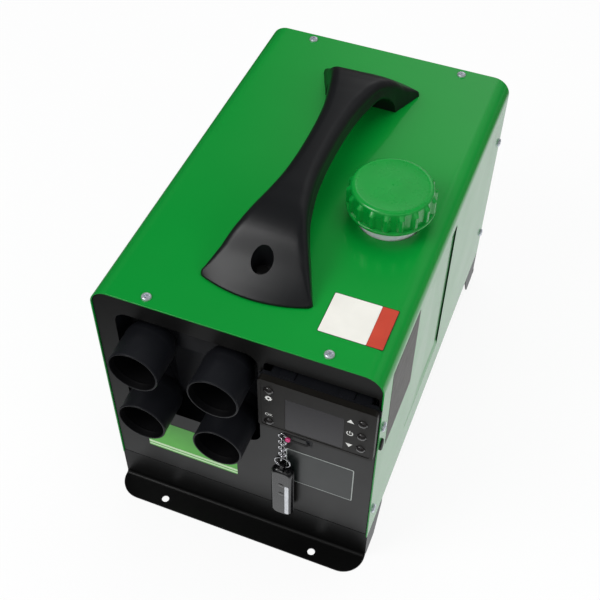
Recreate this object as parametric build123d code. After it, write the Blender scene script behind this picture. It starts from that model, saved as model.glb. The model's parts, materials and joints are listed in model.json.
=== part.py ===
from build123d import *
import math
import os

# A diesel air heater built into a carrying case. A folded green cover stands over a black tray on
# two bent feet. The heater unit lies on the left and feeds four outlets through a plenum, the fuel
# tank stands on the right under its cap, and the controller sits in the front panel.
# Millimetres. +X is to the right and +Y to the back, seen from the front, and +Z is up. The origin
# is the centre of the four bolt holes in the feet, on the floor.

# ---- Driving dimensions -------------------------------------------------------------------------

case_width = 250.0
case_length = 388.0
case_height = 278.0
shell_gauge = 1.2
shell_bend = 17.0
shell_low = 38.0
sheet_gap = 0.3

panel_gauge = 1.2
panel_inset = 1.0
panel_low = 42.5
panel_flange = 18.0

tray_low = 28.0
tray_gauge = 1.5
tray_wall_height = 28.0

foot_gauge = 1.5
foot_inset = 0.8
foot_reach = 23.0
foot_corner = 21.0
foot_ear_floor = 26.0
foot_ear_top = 44.0
foot_lip = 26.0
floor_hole_radius = 3.6
floor_hole_inset = 48.6
floor_hole_reach = 14.0

screw_radius = 1.9
screw_head_radius = 4.2
screw_head_height = 2.5
screw_length = 8.0
screw_edge = 9.0
top_screw_inset = 48.0
side_screw_low = 78.0
side_screw_drop = 70.0
hole_clearance = 0.2
bolt_radius = 2.5
bolt_head_radius = 4.3
bolt_head_height = 3.0

hatch_front = 97.0
hatch_length = 111.0
hatch_low = 80.0
hatch_drop = 26.0
hatch_corner = 5.0
hatch_depth = 5.0
hatch_rim = 7.0
hatch_gauge = 1.0

handle_length = 296.0
handle_rise = 46.0
handle_end_half = 46.0
handle_waist_half = 12.0
handle_bow = 9.0
handle_foot_length = 43.0
handle_leg_rake = 7.0
handle_grip_gap = 25.0
handle_grip_corner = 15.0
handle_bore_radius = 8.5
handle_bore_inset = 13.5
handle_bore_floor = 5.0
handle_bolt_radius = 2.9
handle_bolt_head = 3.0
handle_nut_height = 4.5
handle_bolt_tail = 2.5
handle_nut_radius = 5.6

tank_side_gap = 11.0
tank_heater_gap = 12.0
tank_front = -105.0
tank_back = 160.0
tank_low = 76.0
tank_headroom = 16.0
tank_wall = 2.5
tank_corner = 14.0
neck_offset = 5.0
neck_y = -27.3
neck_radius = 27.0
neck_wall = 3.0
neck_rise = 31.0
neck_hole_gap = 1.6

cap_radius = 36.4
cap_top_radius = 31.2
cap_low = 14.5
cap_top = 37.0
cap_rim = 6.0
cap_rib_count = 18
cap_rib_width = 4.4
cap_rib_rise = 1.6
cap_wall_gap = 0.4
seal_thickness = 1.4

outlet_drop = 89.5
outlet_share = 0.284
outlet_radius = 22.5
outlet_wall = 1.8
outlet_reach = 28.0
outlet_straight = 30.0
outlet_neck_radius = 18.0
outlet_neck_length = 12.0
outlet_gap = 1.0
window_side = 20.0
window_margin = 27.5
window_drop = 81.5
window_height = 122.0
window_corner = 12.0

plenum_wall = 2.2
plenum_face = 26.0
plenum_depth = 46.0
plenum_lap = 3.0
hub_rise = 12.0
hub_half_width = 18.5
hub_half_height = 31.5
hub_flare = 15.0
collar_wall = 2.0
fit_gap = 0.1

heater_side_gap = 23.0
heater_lift = 75.0
heater_front = -105.0
heater_back = 165.0
heater_width = 112.0
heater_case_height = 118.0
heater_corner = 24.0
heater_wall = 2.2
nose_radius = 46.0
nose_length = 12.0
inlet_radius = 46.5
exchanger_front = -92.0
exchanger_back = 44.0
exchanger_radius = 40.0
exchanger_bore = 34.0
fin_count = 20
fin_radius = 50.0
fin_gauge = 2.4
burner_radius = 28.0
burner_length = 84.0
burner_gauge = 1.5
burner_flange = 3.0
blower_length = 39.0
blower_radius = 44.0
blower_bore = 36.0
blower_chamber = 27.0
wheel_radius = 32.0
wheel_width = 13.0
wheel_blades = 12
motor_radius = 19.0
motor_length = 42.0
shaft_radius = 2.5
shaft_running_gap = 0.05
fan_radius = 43.0
fan_hub_radius = 15.0
fan_width = 18.0
fan_blades = 7
fan_gap = 10.0
gasket_half_width = 34.0
gasket_overhang = 22.0
gasket_corner = 10.0
plug_inset = 12.0
plug_radius = 4.9
plug_gap = 0.3
plug_tip_radius = 2.4
burner_plug_hole = 3.4
burner_throat = 9.0
board_drop = 12.0
board_inset = 4.0
board_post = 2.5
board_post_half = 30.0
board_setback = 3.0
board_length = 46.0
board_width = 80.0
board_gauge = 1.6

gasket_thickness = 3.0
stand_gauge = 1.5
exhaust_radius = 12.0
exhaust_y = -60.0
intake_radius = 10.0
intake_y = 60.0
intake_offset = 16.0
pipe_wall = 1.3
pipe_low = 10.0
pipe_stop_drop = 4.0
fuel_inlet_offset = 20.0
fuel_inlet_drop = 11.0
line_radius = 2.5
line_bend = 16.0
line_z = 48.0
line_offset = 2.0
filter_radius = 11.0
filter_front = -60.0
filter_length = 48.0
pump_front = 15.0
pump_length = 70.0
pump_radius = 14.0
cradle_wall = 5.0
cradle_half_length = 11.0
nipple_length = 8.0

bezel_gap = 3.0
bezel_side = 1.5
bezel_drop = 34.5
bezel_height = 64.0
bezel_depth = 6.0
bezel_reach = 8.0
bezel_corner = 3.5
pod_margin = 9.0
pod_depth = 14.0
holder_wall = 1.5
holder_back = 17.0
controller_window_drop = 24.0
screen_left_margin = 23.5
screen_right_margin = 26.0
screen_margin_low = 4.5
screen_height = 42.0
screen_gauge = 0.8
button_radius = 4.2
button_gap = 0.3
button_length = 3.6
button_dome = 1.7
button_travel = 1.0
right_button_inset = 11.1
left_button_inset = 9.3
power_button_rise = 29.5
right_button_pitch = 17.5
settings_button_drop = 12.5
confirm_button_rise = 8.5

grommet_y = 6.5
grommet_drop = 24.0
grommet_half_width = 4.0
grommet_half_height = 7.0
gland_side = 45.0
gland_z = 74.0
gland_radius = 6.0
gland_hex = 10.0
slot_length = 26.0
slot_height = 5.0
slot_pitch_x = 32.0
slot_pitch_z = 10.0

fob_inset = 20.5
fob_drop = 8.0
fob_reach = 6.2
loop_wire = 1.0
loop_length = 26.0
loop_width = 7.0
link_wire = 0.7
link_radius = 3.2
link_gap = 0.35
link_count = 8
split_ring_wire = 1.0
split_ring_radius = 7.0
fob_width = 21.0
fob_length = 74.0
fob_depth = 9.0
fob_button_radius = 3.4
fob_button_travel = 0.6

# ---- Derived places -----------------------------------------------------------------------------

front = -case_length / 2
back = case_length / 2
half = case_width / 2
inner_half = half - shell_gauge
inner_top = case_height - shell_gauge
panel_half = inner_half - sheet_gap
panel_top = inner_top - sheet_gap
panel_bend = shell_bend - shell_gauge - sheet_gap
panel_face = front + panel_inset
panel_back = panel_face + panel_gauge
tray_half = panel_half - panel_gauge - sheet_gap
tray_front = panel_back + sheet_gap
tray_floor = tray_low + tray_gauge
foot_face = front + foot_inset
side_screw_heights = (side_screw_low, case_height - side_screw_drop)
grommet_z = case_height - side_screw_drop - grommet_drop
gland_x = half - gland_side
hatch_height = case_height - hatch_drop - hatch_low
top_screw_x = half - top_screw_inset
floor_hole_x = half - floor_hole_inset
floor_hole_y = case_length / 2 + floor_hole_reach
heater_x = -half + heater_side_gap + heater_width / 2
tank_left = heater_x + heater_width / 2 + tank_heater_gap
tank_right = half - tank_side_gap
tank_top = inner_top - tank_headroom + 1.2
neck_x = (tank_left + tank_right) / 2 + neck_offset
line_x = (tank_left + tank_right) / 2 + line_offset
intake_x = heater_x - intake_offset
fuel_inlet_x = heater_x + fuel_inlet_offset
neck_top = case_height + neck_rise
heater_low = tray_low + heater_lift
heater_z = heater_low + heater_case_height / 2
fuel_inlet_low = heater_low - fuel_inlet_drop
stand_top = heater_low - gasket_thickness
blower_front = exchanger_back + burner_flange
blower_back = blower_front + blower_length
motor_back = blower_back + motor_length
fan_front = motor_back + fan_gap
outlet_pitch = case_width * outlet_share
window_width = outlet_pitch + 2 * window_margin
outlet_x = -half + window_side + window_width / 2
outlet_z = case_height - outlet_drop
window_z = case_height - window_drop
outlet_centres = [
    (outlet_x + side * outlet_pitch / 2, outlet_z + level * outlet_pitch / 2)
    for level in (1, -1)
    for side in (-1, 1)
]
outlet_low = outlet_z - outlet_pitch / 2 - outlet_radius
plenum_low = outlet_low - outlet_gap - plenum_wall
plenum_high = window_z + window_height / 2 + plenum_lap
heel_y = front - outlet_reach + outlet_straight
bezel_left = outlet_x + window_width / 2 + bezel_gap
bezel_right = half - bezel_side
bezel_top = case_height - bezel_drop
bezel_low = bezel_top - bezel_height
bezel_face = front - bezel_reach
bezel_back = bezel_face + bezel_depth
controller_window_top = case_height - controller_window_drop
screen_left = bezel_left + screen_left_margin
screen_width = bezel_right - screen_right_margin - screen_left
screen_low = bezel_low + screen_margin_low
right_button_x = bezel_right - right_button_inset
left_button_x = bezel_left + left_button_inset
power_z = bezel_low + power_button_rise
button_z = {
    "up": power_z + right_button_pitch,
    "power": power_z,
    "down": power_z - right_button_pitch,
    "settings": bezel_top - settings_button_drop,
    "confirm": bezel_low + confirm_button_rise,
}
fob_x = bezel_left + fob_inset
fob_pivot_z = bezel_low - fob_drop
link_hole = link_radius - link_wire
link_step = 2 * link_hole - link_gap
link_top = fob_pivot_z - (link_hole - loop_wire - link_gap)
ring_z = link_top - (link_count - 1) * link_step - link_hole - split_ring_radius + (
    split_ring_wire + link_gap)
fob_high = ring_z - split_ring_radius - 3.2


# ---- Drawing helpers ----------------------------------------------------------------------------

def block(x0, x1, y0, y1, z0, z1):
    """A box between two corners."""
    centre = Pos((x0 + x1) / 2, (y0 + y1) / 2, (z0 + z1) / 2)
    return centre * Box(abs(x1 - x0), abs(y1 - y0), abs(z1 - z0))


def along_x(sketch, x0, x1):
    """A sketch of (Y, Z) extruded from x0 to x1."""
    return extrude(Plane.YZ.offset(x0) * sketch, x1 - x0)


def along_y(sketch, y0, y1):
    """A sketch of (X, Z) extruded from y0 to y1."""
    return extrude(Plane.XZ.offset(-y1) * sketch, y1 - y0)


def along_z(sketch, z0, z1):
    """A sketch of (X, Y) extruded from z0 to z1."""
    return extrude(Plane.XY.offset(z0) * sketch, z1 - z0)


def rod_x(radius, y, z, x0, x1):
    """A cylinder along X."""
    return along_x(Pos(y, z) * Circle(radius), x0, x1)


def rod_y(radius, x, z, y0, y1):
    """A cylinder along Y."""
    return along_y(Pos(x, z) * Circle(radius), y0, y1)


def rod_z(radius, x, y, z0, z1):
    """A cylinder along Z."""
    return along_z(Pos(x, y) * Circle(radius), z0, z1)


def rounded(x0, x1, y0, y1, radius):
    """A flat rectangle between two corners, with rounded corners."""
    return Pos((x0 + x1) / 2, (y0 + y1) / 2) * RectangleRounded(x1 - x0, y1 - y0, radius)


def outline(points):
    """A flat face inside a closed run of straight lines."""
    return make_face(Polyline(*points, close=True))


def arch(half_width, low, top, radius):
    """A flat upright rectangle whose two upper corners are bends."""
    body = Pos(0, (low + top) / 2) * Rectangle(2 * half_width, top - low)
    return fillet(body.vertices().group_by(Axis.Y)[-1], radius)


def turned_z(points, x, y, z):
    """A solid of revolution about an upright axis, from (radius, height) points."""
    return Pos(x, y, z) * revolve(Plane.XZ * outline(points), Axis.Z)


def at_both_ends(part):
    """The part and its mirror image at the other end of the case."""
    return part + mirror(part, Plane.XZ)


# ---- Screws -------------------------------------------------------------------------------------

def case_screw_seats():
    """Where each cover screw sits: its place and the way its head points."""
    seats = []
    for end in (-1, 1):
        y = end * (back - screw_edge)
        for side in (-1, 1):
            seats.append(Pos(side * top_screw_x, y, case_height))
            for z in side_screw_heights:
                seats.append(Pos(side * half, y, z) * Rot(0, side * 90, 0))
    return seats


def pan_screw():
    """A pan-head screw standing on its seat, head up."""
    head = Cylinder(
        screw_head_radius, screw_head_height, align=(Align.CENTER, Align.CENTER, Align.MIN))
    head = fillet(head.edges().group_by(Axis.Z)[-1], screw_head_height * 0.7)
    shank = Cylinder(
        screw_radius, screw_length, align=(Align.CENTER, Align.CENTER, Align.MAX))
    return head + shank


def screw_holes(radius):
    """Cutters for all cover screws, through the cover and the flange behind it."""
    cutter = Cylinder(radius, 2 * screw_length)
    return [seat * cutter for seat in case_screw_seats()]


def shell_screws():
    """The twelve screws that hold the cover to the end panels."""
    return [seat * pan_screw() for seat in case_screw_seats()]


def foot_bolt_places():
    """Where the bolts join the feet and the tray, seen from above."""
    reach = back - foot_inset - foot_gauge - foot_lip / 2
    spread = tray_half - 32.0
    return [(x, end * reach) for end in (-1, 1) for x in (-spread, 0, spread)]


def foot_bolts():
    """Hexagon bolts up through the feet into the tray."""
    bolts = []
    head_top = tray_low - foot_gauge
    for x, y in foot_bolt_places():
        head = along_z(
            Pos(x, y) * RegularPolygon(bolt_head_radius, 6), head_top - bolt_head_height, head_top)
        bolts.append(head + rod_z(bolt_radius, x, y, head_top, tray_floor + 4.0))
    return bolts


# ---- Case ---------------------------------------------------------------------------------------

def hatch_sketch(margin):
    """The hatch opening as (Y, Z), grown by a margin."""
    y0 = front + hatch_front - margin
    z0 = hatch_low - margin
    return rounded(
        y0, y0 + hatch_length + 2 * margin, z0, z0 + hatch_height + 2 * margin,
        hatch_corner + margin)


def handle_bolt_places():
    """The two handle bolts, on the case's centre line."""
    reach = handle_length / 2 - handle_bore_inset
    return [(0, -reach), (0, reach)]


def shell():
    """The folded cover: both sides and the top from one sheet."""
    outer = along_y(arch(half, shell_low, case_height, shell_bend), front, back)
    inner = arch(inner_half, shell_low - 1, inner_top, shell_bend - shell_gauge)
    part = outer - along_y(inner, front - 1, back + 1)
    part -= screw_holes(screw_radius + hole_clearance)
    part -= rod_z(neck_radius + neck_hole_gap, neck_x, neck_y, inner_top - 1, case_height + 1)
    part -= along_x(hatch_sketch(0), inner_half - 1, half + 1)
    for x, y in handle_bolt_places():
        part -= rod_z(handle_bolt_radius + hole_clearance, x, y, inner_top - 1, case_height + 1)
    part -= grommet_hole()
    return part


def panel_blank():
    """The front end panel before its windows: a plate with a flange folded back all round."""
    outer = along_y(
        arch(panel_half, panel_low, panel_top, panel_bend), panel_face, panel_face + panel_flange)
    inner = arch(
        panel_half - panel_gauge, panel_low - 1, panel_top - panel_gauge,
        panel_bend - panel_gauge)
    part = outer - along_y(inner, panel_back, panel_face + panel_flange + 1)
    return part - screw_holes(screw_radius + hole_clearance / 2)


def outlet_window():
    """The window for the four outlets as (X, Z), scooped out below the lower two."""
    window = Pos(outlet_x, window_z) * RectangleRounded(
        window_width, window_height, window_corner)
    return window + [Pos(x, z) * Circle(outlet_radius + outlet_gap) for x, z in outlet_centres]


def front_panel():
    """The front panel with its outlet window, controller window and grommet hole."""
    part = panel_blank()
    part -= along_y(outlet_window(), panel_face - 1, panel_back + 1)
    part -= along_y(
        rounded(
            bezel_left + 2.0, bezel_right - 2.0, bezel_low + 2.0, controller_window_top,
            bezel_corner),
        panel_face - 1, panel_back + 1)
    return part - grommet_hole()


def rear_panel():
    """The rear panel with its air-inlet slots and the hole for the cable gland."""
    part = mirror(panel_blank(), Plane.XZ)
    y0, y1 = -panel_back, -panel_face
    slots = []
    for row in range(-4, 5):
        columns = 1 if abs(row) == 4 else 2 if abs(row) % 2 else 3
        for column in range(columns):
            x = heater_x + (column - (columns - 1) / 2) * slot_pitch_x
            z = heater_z + row * slot_pitch_z
            slot = Pos(x, z) * SlotOverall(slot_length, slot_height)
            slots.append(along_y(slot, y0 - 1, y1 + 1))
    part -= slots
    return part - rod_y(gland_radius + hole_clearance, gland_x, gland_z, y0 - 1, y1 + 1)


def base_tray():
    """The folded tray that carries the heater and the tank."""
    part = block(-tray_half, tray_half, tray_front, -tray_front,
                 tray_low, tray_low + tray_wall_height)
    part -= block(-tray_half + tray_gauge, tray_half - tray_gauge,
                  tray_front + tray_gauge, -tray_front - tray_gauge,
                  tray_floor, tray_low + tray_wall_height + 1)
    for x, y in foot_bolt_places():
        part -= rod_z(bolt_radius + hole_clearance, x, y, tray_low - 1, tray_floor + 1)
    part -= rod_z(exhaust_radius + 1.0, heater_x, exhaust_y, tray_low - 1, tray_floor + 1)
    part -= rod_z(intake_radius + 1.0, intake_x, intake_y, tray_low - 1, tray_floor + 1)
    return part


def front_foot():
    """The front foot: a wall, a floor flange, two side ears and a lip under the tray."""
    edge = front - foot_reach
    wall_top = panel_low - 0.5
    section = outline([
        (edge, 0), (foot_face + foot_gauge, 0), (foot_face + foot_gauge, wall_top),
        (foot_face, wall_top), (foot_face, foot_gauge), (edge, foot_gauge)])
    heel = section.vertices().sort_by_distance(Vector(foot_face + foot_gauge, 0))[0]
    section = fillet(heel, foot_gauge + 2.0)
    crook = section.vertices().sort_by_distance(Vector(foot_face, foot_gauge))[0]
    section = fillet(crook, 2.0)
    part = along_x(section, -half, half)
    for side in (-1, 1):
        centre = Pos(side * (half - foot_corner), edge + foot_corner, foot_gauge / 2)
        corner = Pos(
            side * (half - foot_corner / 2 + 0.5), edge + foot_corner / 2 - 0.5, foot_gauge / 2)
        part -= (corner * Box(foot_corner + 1, foot_corner + 1, foot_gauge + 1)
                 - centre * Cylinder(foot_corner, foot_gauge + 2))
    ear_top = shell_low - 1.0
    for side in (-1, 1):
        part -= block(side * panel_half, side * (half + 1), foot_face - 1,
                      foot_face + foot_gauge + 1, ear_top, wall_top + 1)
    ear = outline([
        (foot_face + 0.5, 3.5), (foot_face + 3.5, 0), (foot_face + foot_ear_floor, 0),
        (foot_face + foot_ear_top, ear_top - 7.0), (foot_face + foot_ear_top, ear_top),
        (foot_face + 0.5, ear_top)])
    part += along_x(ear, half - foot_gauge, half)
    part += along_x(ear, -half, -half + foot_gauge)
    lip_start = foot_face + foot_gauge
    part += block(-tray_half + 8.0, tray_half - 8.0, lip_start - 0.2, lip_start + foot_lip,
                  tray_low - foot_gauge, tray_low)
    for x, y in foot_bolt_places():
        part -= rod_z(bolt_radius + hole_clearance, x, y, tray_low - foot_gauge - 1, tray_low + 1)
    for side in (-1, 1):
        part -= rod_z(floor_hole_radius, side * floor_hole_x, -floor_hole_y, -1, foot_gauge + 1)
    return part


def rear_foot():
    """The rear foot is the front one turned round."""
    return mirror(front_foot(), Plane.XZ)


def service_hatch():
    """The pressed service hatch: a dish behind the cover, with a rim against its inner face."""
    face = inner_half - hatch_depth
    dish = along_x(hatch_sketch(-0.4), face - hatch_gauge, inner_half)
    rim = along_x(hatch_sketch(hatch_rim), inner_half - hatch_gauge, inner_half)
    return dish + rim - along_x(hatch_sketch(-0.4 - hatch_gauge), face, inner_half + 1)


def grommet_hole():
    """The oval hole in the cover's right side and the flange behind it."""
    oval = Ellipse(grommet_half_width - 0.9, grommet_half_height - 1.4)
    return along_x(Pos(front + grommet_y + 1.5, grommet_z) * oval, panel_half - 4, half + 1)


def side_grommet():
    """The oval rubber grommet near the right front edge."""
    place = Pos(front + grommet_y + 1.5, grommet_z)
    head = along_x(place * Ellipse(grommet_half_width, grommet_half_height), half, half + 1.8)
    head = fillet(head.edges().group_by(Axis.X)[-1], 1.0)
    stem = Ellipse(grommet_half_width - 1.0, grommet_half_height - 1.5)
    return head + along_x(place * stem, panel_half - panel_gauge, half)


def cable_gland():
    """The cable gland in the rear panel: body, hexagon, dome and inner nut."""
    outer = -panel_face
    inner = -panel_back
    hexagon = Pos(gland_x, gland_z) * RegularPolygon(gland_hex, 6)
    part = rod_y(gland_radius, gland_x, gland_z, inner - 8.0, outer + 10.0)
    part += along_y(hexagon, outer, outer + 4.0)
    part += along_y(hexagon, inner - 4.0, inner)
    dome = rod_y(gland_radius + 2.4, gland_x, gland_z, outer + 4.0, outer + 13.0)
    part += fillet(dome.edges().group_by(Axis.Y)[-1], 3.0)
    return part - rod_y(2.6, gland_x, gland_z, inner - 9.0, outer + 14.0)


# ---- Handle -------------------------------------------------------------------------------------

def handle_section(y, rise, low_half, top_half):
    """One cross-section of the handle: a trapezium with rounded shoulders."""
    face = outline([(-low_half, 0), (low_half, 0), (top_half, rise), (-top_half, rise)])
    face = fillet(face.vertices().group_by(Axis.Y)[-1], min(0.35 * rise, 6.5))
    return Plane.XZ.offset(-y) * face


def handle():
    """The moulded grip: broad raked ends, a slim waist and an arch for the fingers."""
    end = handle_length / 2
    spread = handle_end_half - handle_waist_half
    # Distance from the end, share of the height, shares of the spread at foot and crown
    stations = [
        (0.0, 0.10, 1.00, 0.91),
        (18.0, 0.56, 0.82, 0.56),
        (36.0, 0.92, 0.66, 0.30),
        (60.0, 1.00, 0.44, 0.16),
        (100.0, 1.00, 0.22, 0.04),
        (end, 0.98, 0.10, 0.0),
    ]
    row = [(s - end, h, a, b) for s, h, a, b in stations]
    row += [(-y, h, a, b) for y, h, a, b in reversed(row[:-1])]
    grip = loft([
        handle_section(y, h * handle_rise, handle_waist_half + a * spread,
                       handle_waist_half + b * spread)
        for y, h, a, b in row])
    # Bowed ends
    radius = (handle_end_half ** 2 + handle_bow ** 2) / (2 * handle_bow)
    reach = end - radius
    plan = (Circle(radius) & Rectangle(4 * end, 4 * end)).moved(Pos(0, -reach))
    plan &= Pos(0, -end / 2) * Rectangle(2 * end, end + 1)
    bowed = along_z(plan, -1, 2 * handle_rise)
    grip &= bowed + mirror(bowed, Plane.XZ)
    # Finger arch
    foot = end - handle_foot_length
    inside = foot - handle_leg_rake
    arch_side = outline([
        (-foot, -1), (-inside, handle_grip_gap), (inside, handle_grip_gap), (foot, -1)])
    arch_side = fillet(arch_side.vertices().group_by(Axis.Y)[-1], handle_grip_corner)
    grip -= along_x(arch_side, -case_width, case_width)
    for x, y in handle_bolt_places():
        grip -= rod_z(handle_bore_radius, x, y, handle_bore_floor, handle_rise)
        grip -= rod_z(handle_bolt_radius + hole_clearance, x, y, -1, handle_bore_floor + 1)
    return Pos(0, 0, case_height) * grip


def handle_screws():
    """The two bolts at the bottom of the handle's deep bores, with their nuts under the cover."""
    bolts = []
    for x, y in handle_bolt_places():
        seat = case_height + handle_bore_floor
        low = inner_top - handle_nut_height - handle_bolt_tail
        bolt = rod_z(handle_bolt_radius, x, y, low, seat)
        bolt += rod_z(2 * handle_bolt_radius, x, y, seat, seat + handle_bolt_head)
        nut = along_z(Pos(x, y) * RegularPolygon(handle_nut_radius, 6),
                      inner_top - handle_nut_height, inner_top)
        bolts.append(bolt + nut)
    return bolts


# ---- Fuel side ----------------------------------------------------------------------------------

def fuel_tank():
    """The blow-moulded tank: hollow, with its filler neck and the outlet stub below."""
    outer = block(tank_left, tank_right, tank_front, tank_back, tank_low, tank_top)
    outer = fillet(outer.edges(), tank_corner)
    inner = block(tank_left + tank_wall, tank_right - tank_wall, tank_front + tank_wall,
                  tank_back - tank_wall, tank_low + tank_wall, tank_top - tank_wall)
    inner = fillet(inner.edges(), tank_corner - tank_wall)
    outer += rod_z(neck_radius, neck_x, neck_y, tank_top - tank_wall / 2, neck_top)
    outer -= inner
    outer -= rod_z(neck_radius - neck_wall, neck_x, neck_y, tank_top - 2 * tank_wall, neck_top + 1)
    stub_y = tank_front + 16.0
    return outer + rod_z(line_radius + 1.5, line_x, stub_y, tank_low - 6.0, tank_low + 1.0)


def filler_cap():
    """The ribbed filler cap: a skirt with a rounded crown and upright ribs round it."""
    crown = cap_top - cap_rim
    body = turned_z(
        [(0, cap_low), (cap_radius, cap_low), (cap_radius, crown),
         (cap_radius - 1.4, crown + 3.4), (cap_top_radius, cap_top), (0, cap_top)],
        0, 0, 0)
    rib = block(cap_radius - 1.0, cap_radius + cap_rib_rise, -cap_rib_width / 2,
                cap_rib_width / 2, cap_low, crown - 1.0)
    rib = chamfer(rib.edges().filter_by(Axis.Z).group_by(Axis.X)[-1], cap_rib_rise * 0.6)
    ribs = [Rot(0, 0, 360 * n / cap_rib_count) * rib for n in range(cap_rib_count)]
    body += ribs
    hollow_top = neck_rise + seal_thickness + 0.3
    body -= rod_z(neck_radius + cap_wall_gap, 0, 0, cap_low - 1, hollow_top)
    body -= rod_z(1.0, 0, 0, cap_top - 0.6, cap_top + 1)
    return Pos(neck_x, neck_y, case_height) * body


def cap_seal():
    """The soft disc that the cap presses on the neck."""
    return rod_z(neck_radius - 0.3, neck_x, neck_y, neck_top, neck_top + seal_thickness)


def tank_shelf():
    """The folded shelf under the tank, with a low lip along its inner side."""
    left, right = tank_left - 2.0, tank_right + 2.0
    y0, y1 = tank_front - 3.0, tank_back + 3.0
    top = tank_low
    part = block(left, right, y0, y1, top - stand_gauge, top)
    part += block(left, left + stand_gauge, y0, y1, top - stand_gauge, top + 12.0)
    part += block(left, right, y0, y0 + stand_gauge, tray_floor, top)
    part += block(left, right, y1 - stand_gauge, y1, tray_floor, top)
    return part - rod_z(line_radius + 2.5, line_x, tank_front + 16.0, top - 3, top + 1)


def fuel_filter():
    """The in-line fuel filter with a nipple at each end."""
    y1 = filter_front + filter_length
    part = rod_y(filter_radius, line_x, line_z, filter_front, y1)
    part = chamfer(part.edges(), 2.5)
    return part + rod_y(line_radius, line_x, line_z, filter_front - nipple_length,
                        y1 + nipple_length)


def fuel_pump():
    """The dosing pump: a steel can with a collar at each end and two nipples."""
    y0, y1 = pump_front, pump_front + pump_length
    part = rod_y(pump_radius - 2.0, line_x, line_z, y0, y1)
    part += rod_y(pump_radius, line_x, line_z, y0 + 12.0, y1 - 12.0)
    return part + rod_y(line_radius, line_x, line_z, y0 - nipple_length, y1 + nipple_length)


def pump_mount():
    """The rubber cradle round the pump, standing on the tray."""
    middle = pump_front + pump_length / 2
    width = pump_radius + cradle_wall
    reach = cradle_half_length
    part = block(line_x - width, line_x + width, middle - reach, middle + reach, tray_floor,
                 line_z + width)
    part = fillet(part.edges().filter_by(Axis.Y).group_by(Axis.Z)[-1], width * 0.7)
    return part - rod_y(pump_radius + shaft_running_gap, line_x, line_z, middle - 2 * reach,
                        middle + 2 * reach)


def hose(points, bend):
    """A round hose along straight runs joined by arcs of one radius."""
    if len(points) > 2:
        path = FilletPolyline(*points, radius=bend)
    else:
        path = Line(*points)
    start = Plane(origin=path @ 0, z_dir=path % 0)
    return sweep(start * Circle(line_radius), path=path)


def fuel_line_tank():
    """The hose from the tank's outlet stub to the filter."""
    y = tank_front + 16.0
    return hose([(line_x, y, tank_low - 6.0), (line_x, y, line_z),
                 (line_x, filter_front - nipple_length, line_z)], line_bend)


def fuel_line_pump():
    """The short hose from the filter to the pump."""
    return hose([(line_x, filter_front + filter_length + nipple_length, line_z),
                 (line_x, pump_front - nipple_length, line_z)], line_bend)


def fuel_line_heater():
    """The hose from the pump round to the heater's fuel inlet."""
    turn = pump_front + pump_length + nipple_length + 32.0
    return hose([(line_x, pump_front + pump_length + nipple_length, line_z),
                 (line_x, turn, line_z), (fuel_inlet_x, turn, line_z),
                 (fuel_inlet_x, intake_y, line_z), (fuel_inlet_x, intake_y, fuel_inlet_low)],
                line_bend)


# ---- Heater unit --------------------------------------------------------------------------------

def base_ports(clearance):
    """Cutters for the exhaust, the combustion air and the fuel, through the heater's base."""
    low, high = stand_top - 5.0, heater_low + heater_wall + 1.0
    return [
        rod_z(exhaust_radius + clearance, heater_x, exhaust_y, low, high),
        rod_z(intake_radius + clearance, intake_x, intake_y, low, high),
        rod_z(line_radius + clearance, fuel_inlet_x, intake_y, low, high),
    ]


def heater_stand():
    """The sheet table that carries the heater above the tray."""
    left, right = heater_x - heater_width / 2, heater_x + heater_width / 2
    y0, y1 = heater_front + 20.0, heater_back - 15.0
    part = block(left, right, y0, y1, stand_top - stand_gauge, stand_top)
    for y in (y0, y1 - stand_gauge):
        part += block(left, right, y, y + stand_gauge, tray_floor, stand_top)
    return part - base_ports(0.5)


def heater_gasket():
    """The flat gasket under the heater."""
    plate = block(heater_x - gasket_half_width, heater_x + gasket_half_width,
                  exhaust_y - gasket_overhang, intake_y + gasket_overhang, stand_top, heater_low)
    plate = fillet(plate.edges().filter_by(Axis.Z), gasket_corner)
    return plate - base_ports(0.5)


def heater_shell():
    """The whole moulded heater case, before it is split into two halves."""
    def section(margin):
        return Pos(heater_x, heater_z) * RectangleRounded(
            heater_width - 2 * margin, heater_case_height - 2 * margin, heater_corner - margin)
    part = along_y(section(0), heater_front, heater_back)
    part += rod_y(nose_radius, heater_x, heater_z, heater_front - nose_length, heater_front + 1)
    part -= along_y(section(heater_wall), heater_front + heater_wall, heater_back - heater_wall)
    part -= rod_y(nose_radius - heater_wall, heater_x, heater_z,
                  heater_front - nose_length - 1, heater_front + heater_wall + 1)
    part -= rod_y(inlet_radius, heater_x, heater_z, heater_back - heater_wall - 1,
                  heater_back + 1)
    return part - base_ports(0.4)


def heater_half(low, high):
    """The heater case between two heights."""
    return heater_shell() & block(heater_x - heater_width, heater_x + heater_width,
                                  heater_front - 2 * nose_length, heater_back + 1, low, high)


def heater_lower_case():
    """The lower half of the heater case."""
    return heater_half(heater_low - 1, heater_z - 0.1)


def heater_upper_case():
    """The upper half of the heater case."""
    return heater_half(heater_z + 0.1, heater_z + heater_case_height)


def port_boss(x, y, radius, wall):
    """A hollow boss from the heater's base up into the castings."""
    top = heater_z - 30.0
    low = heater_low + 0.5
    return rod_z(radius, x, y, low, top), rod_z(radius - wall, x, y, low - 1, top)


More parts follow.
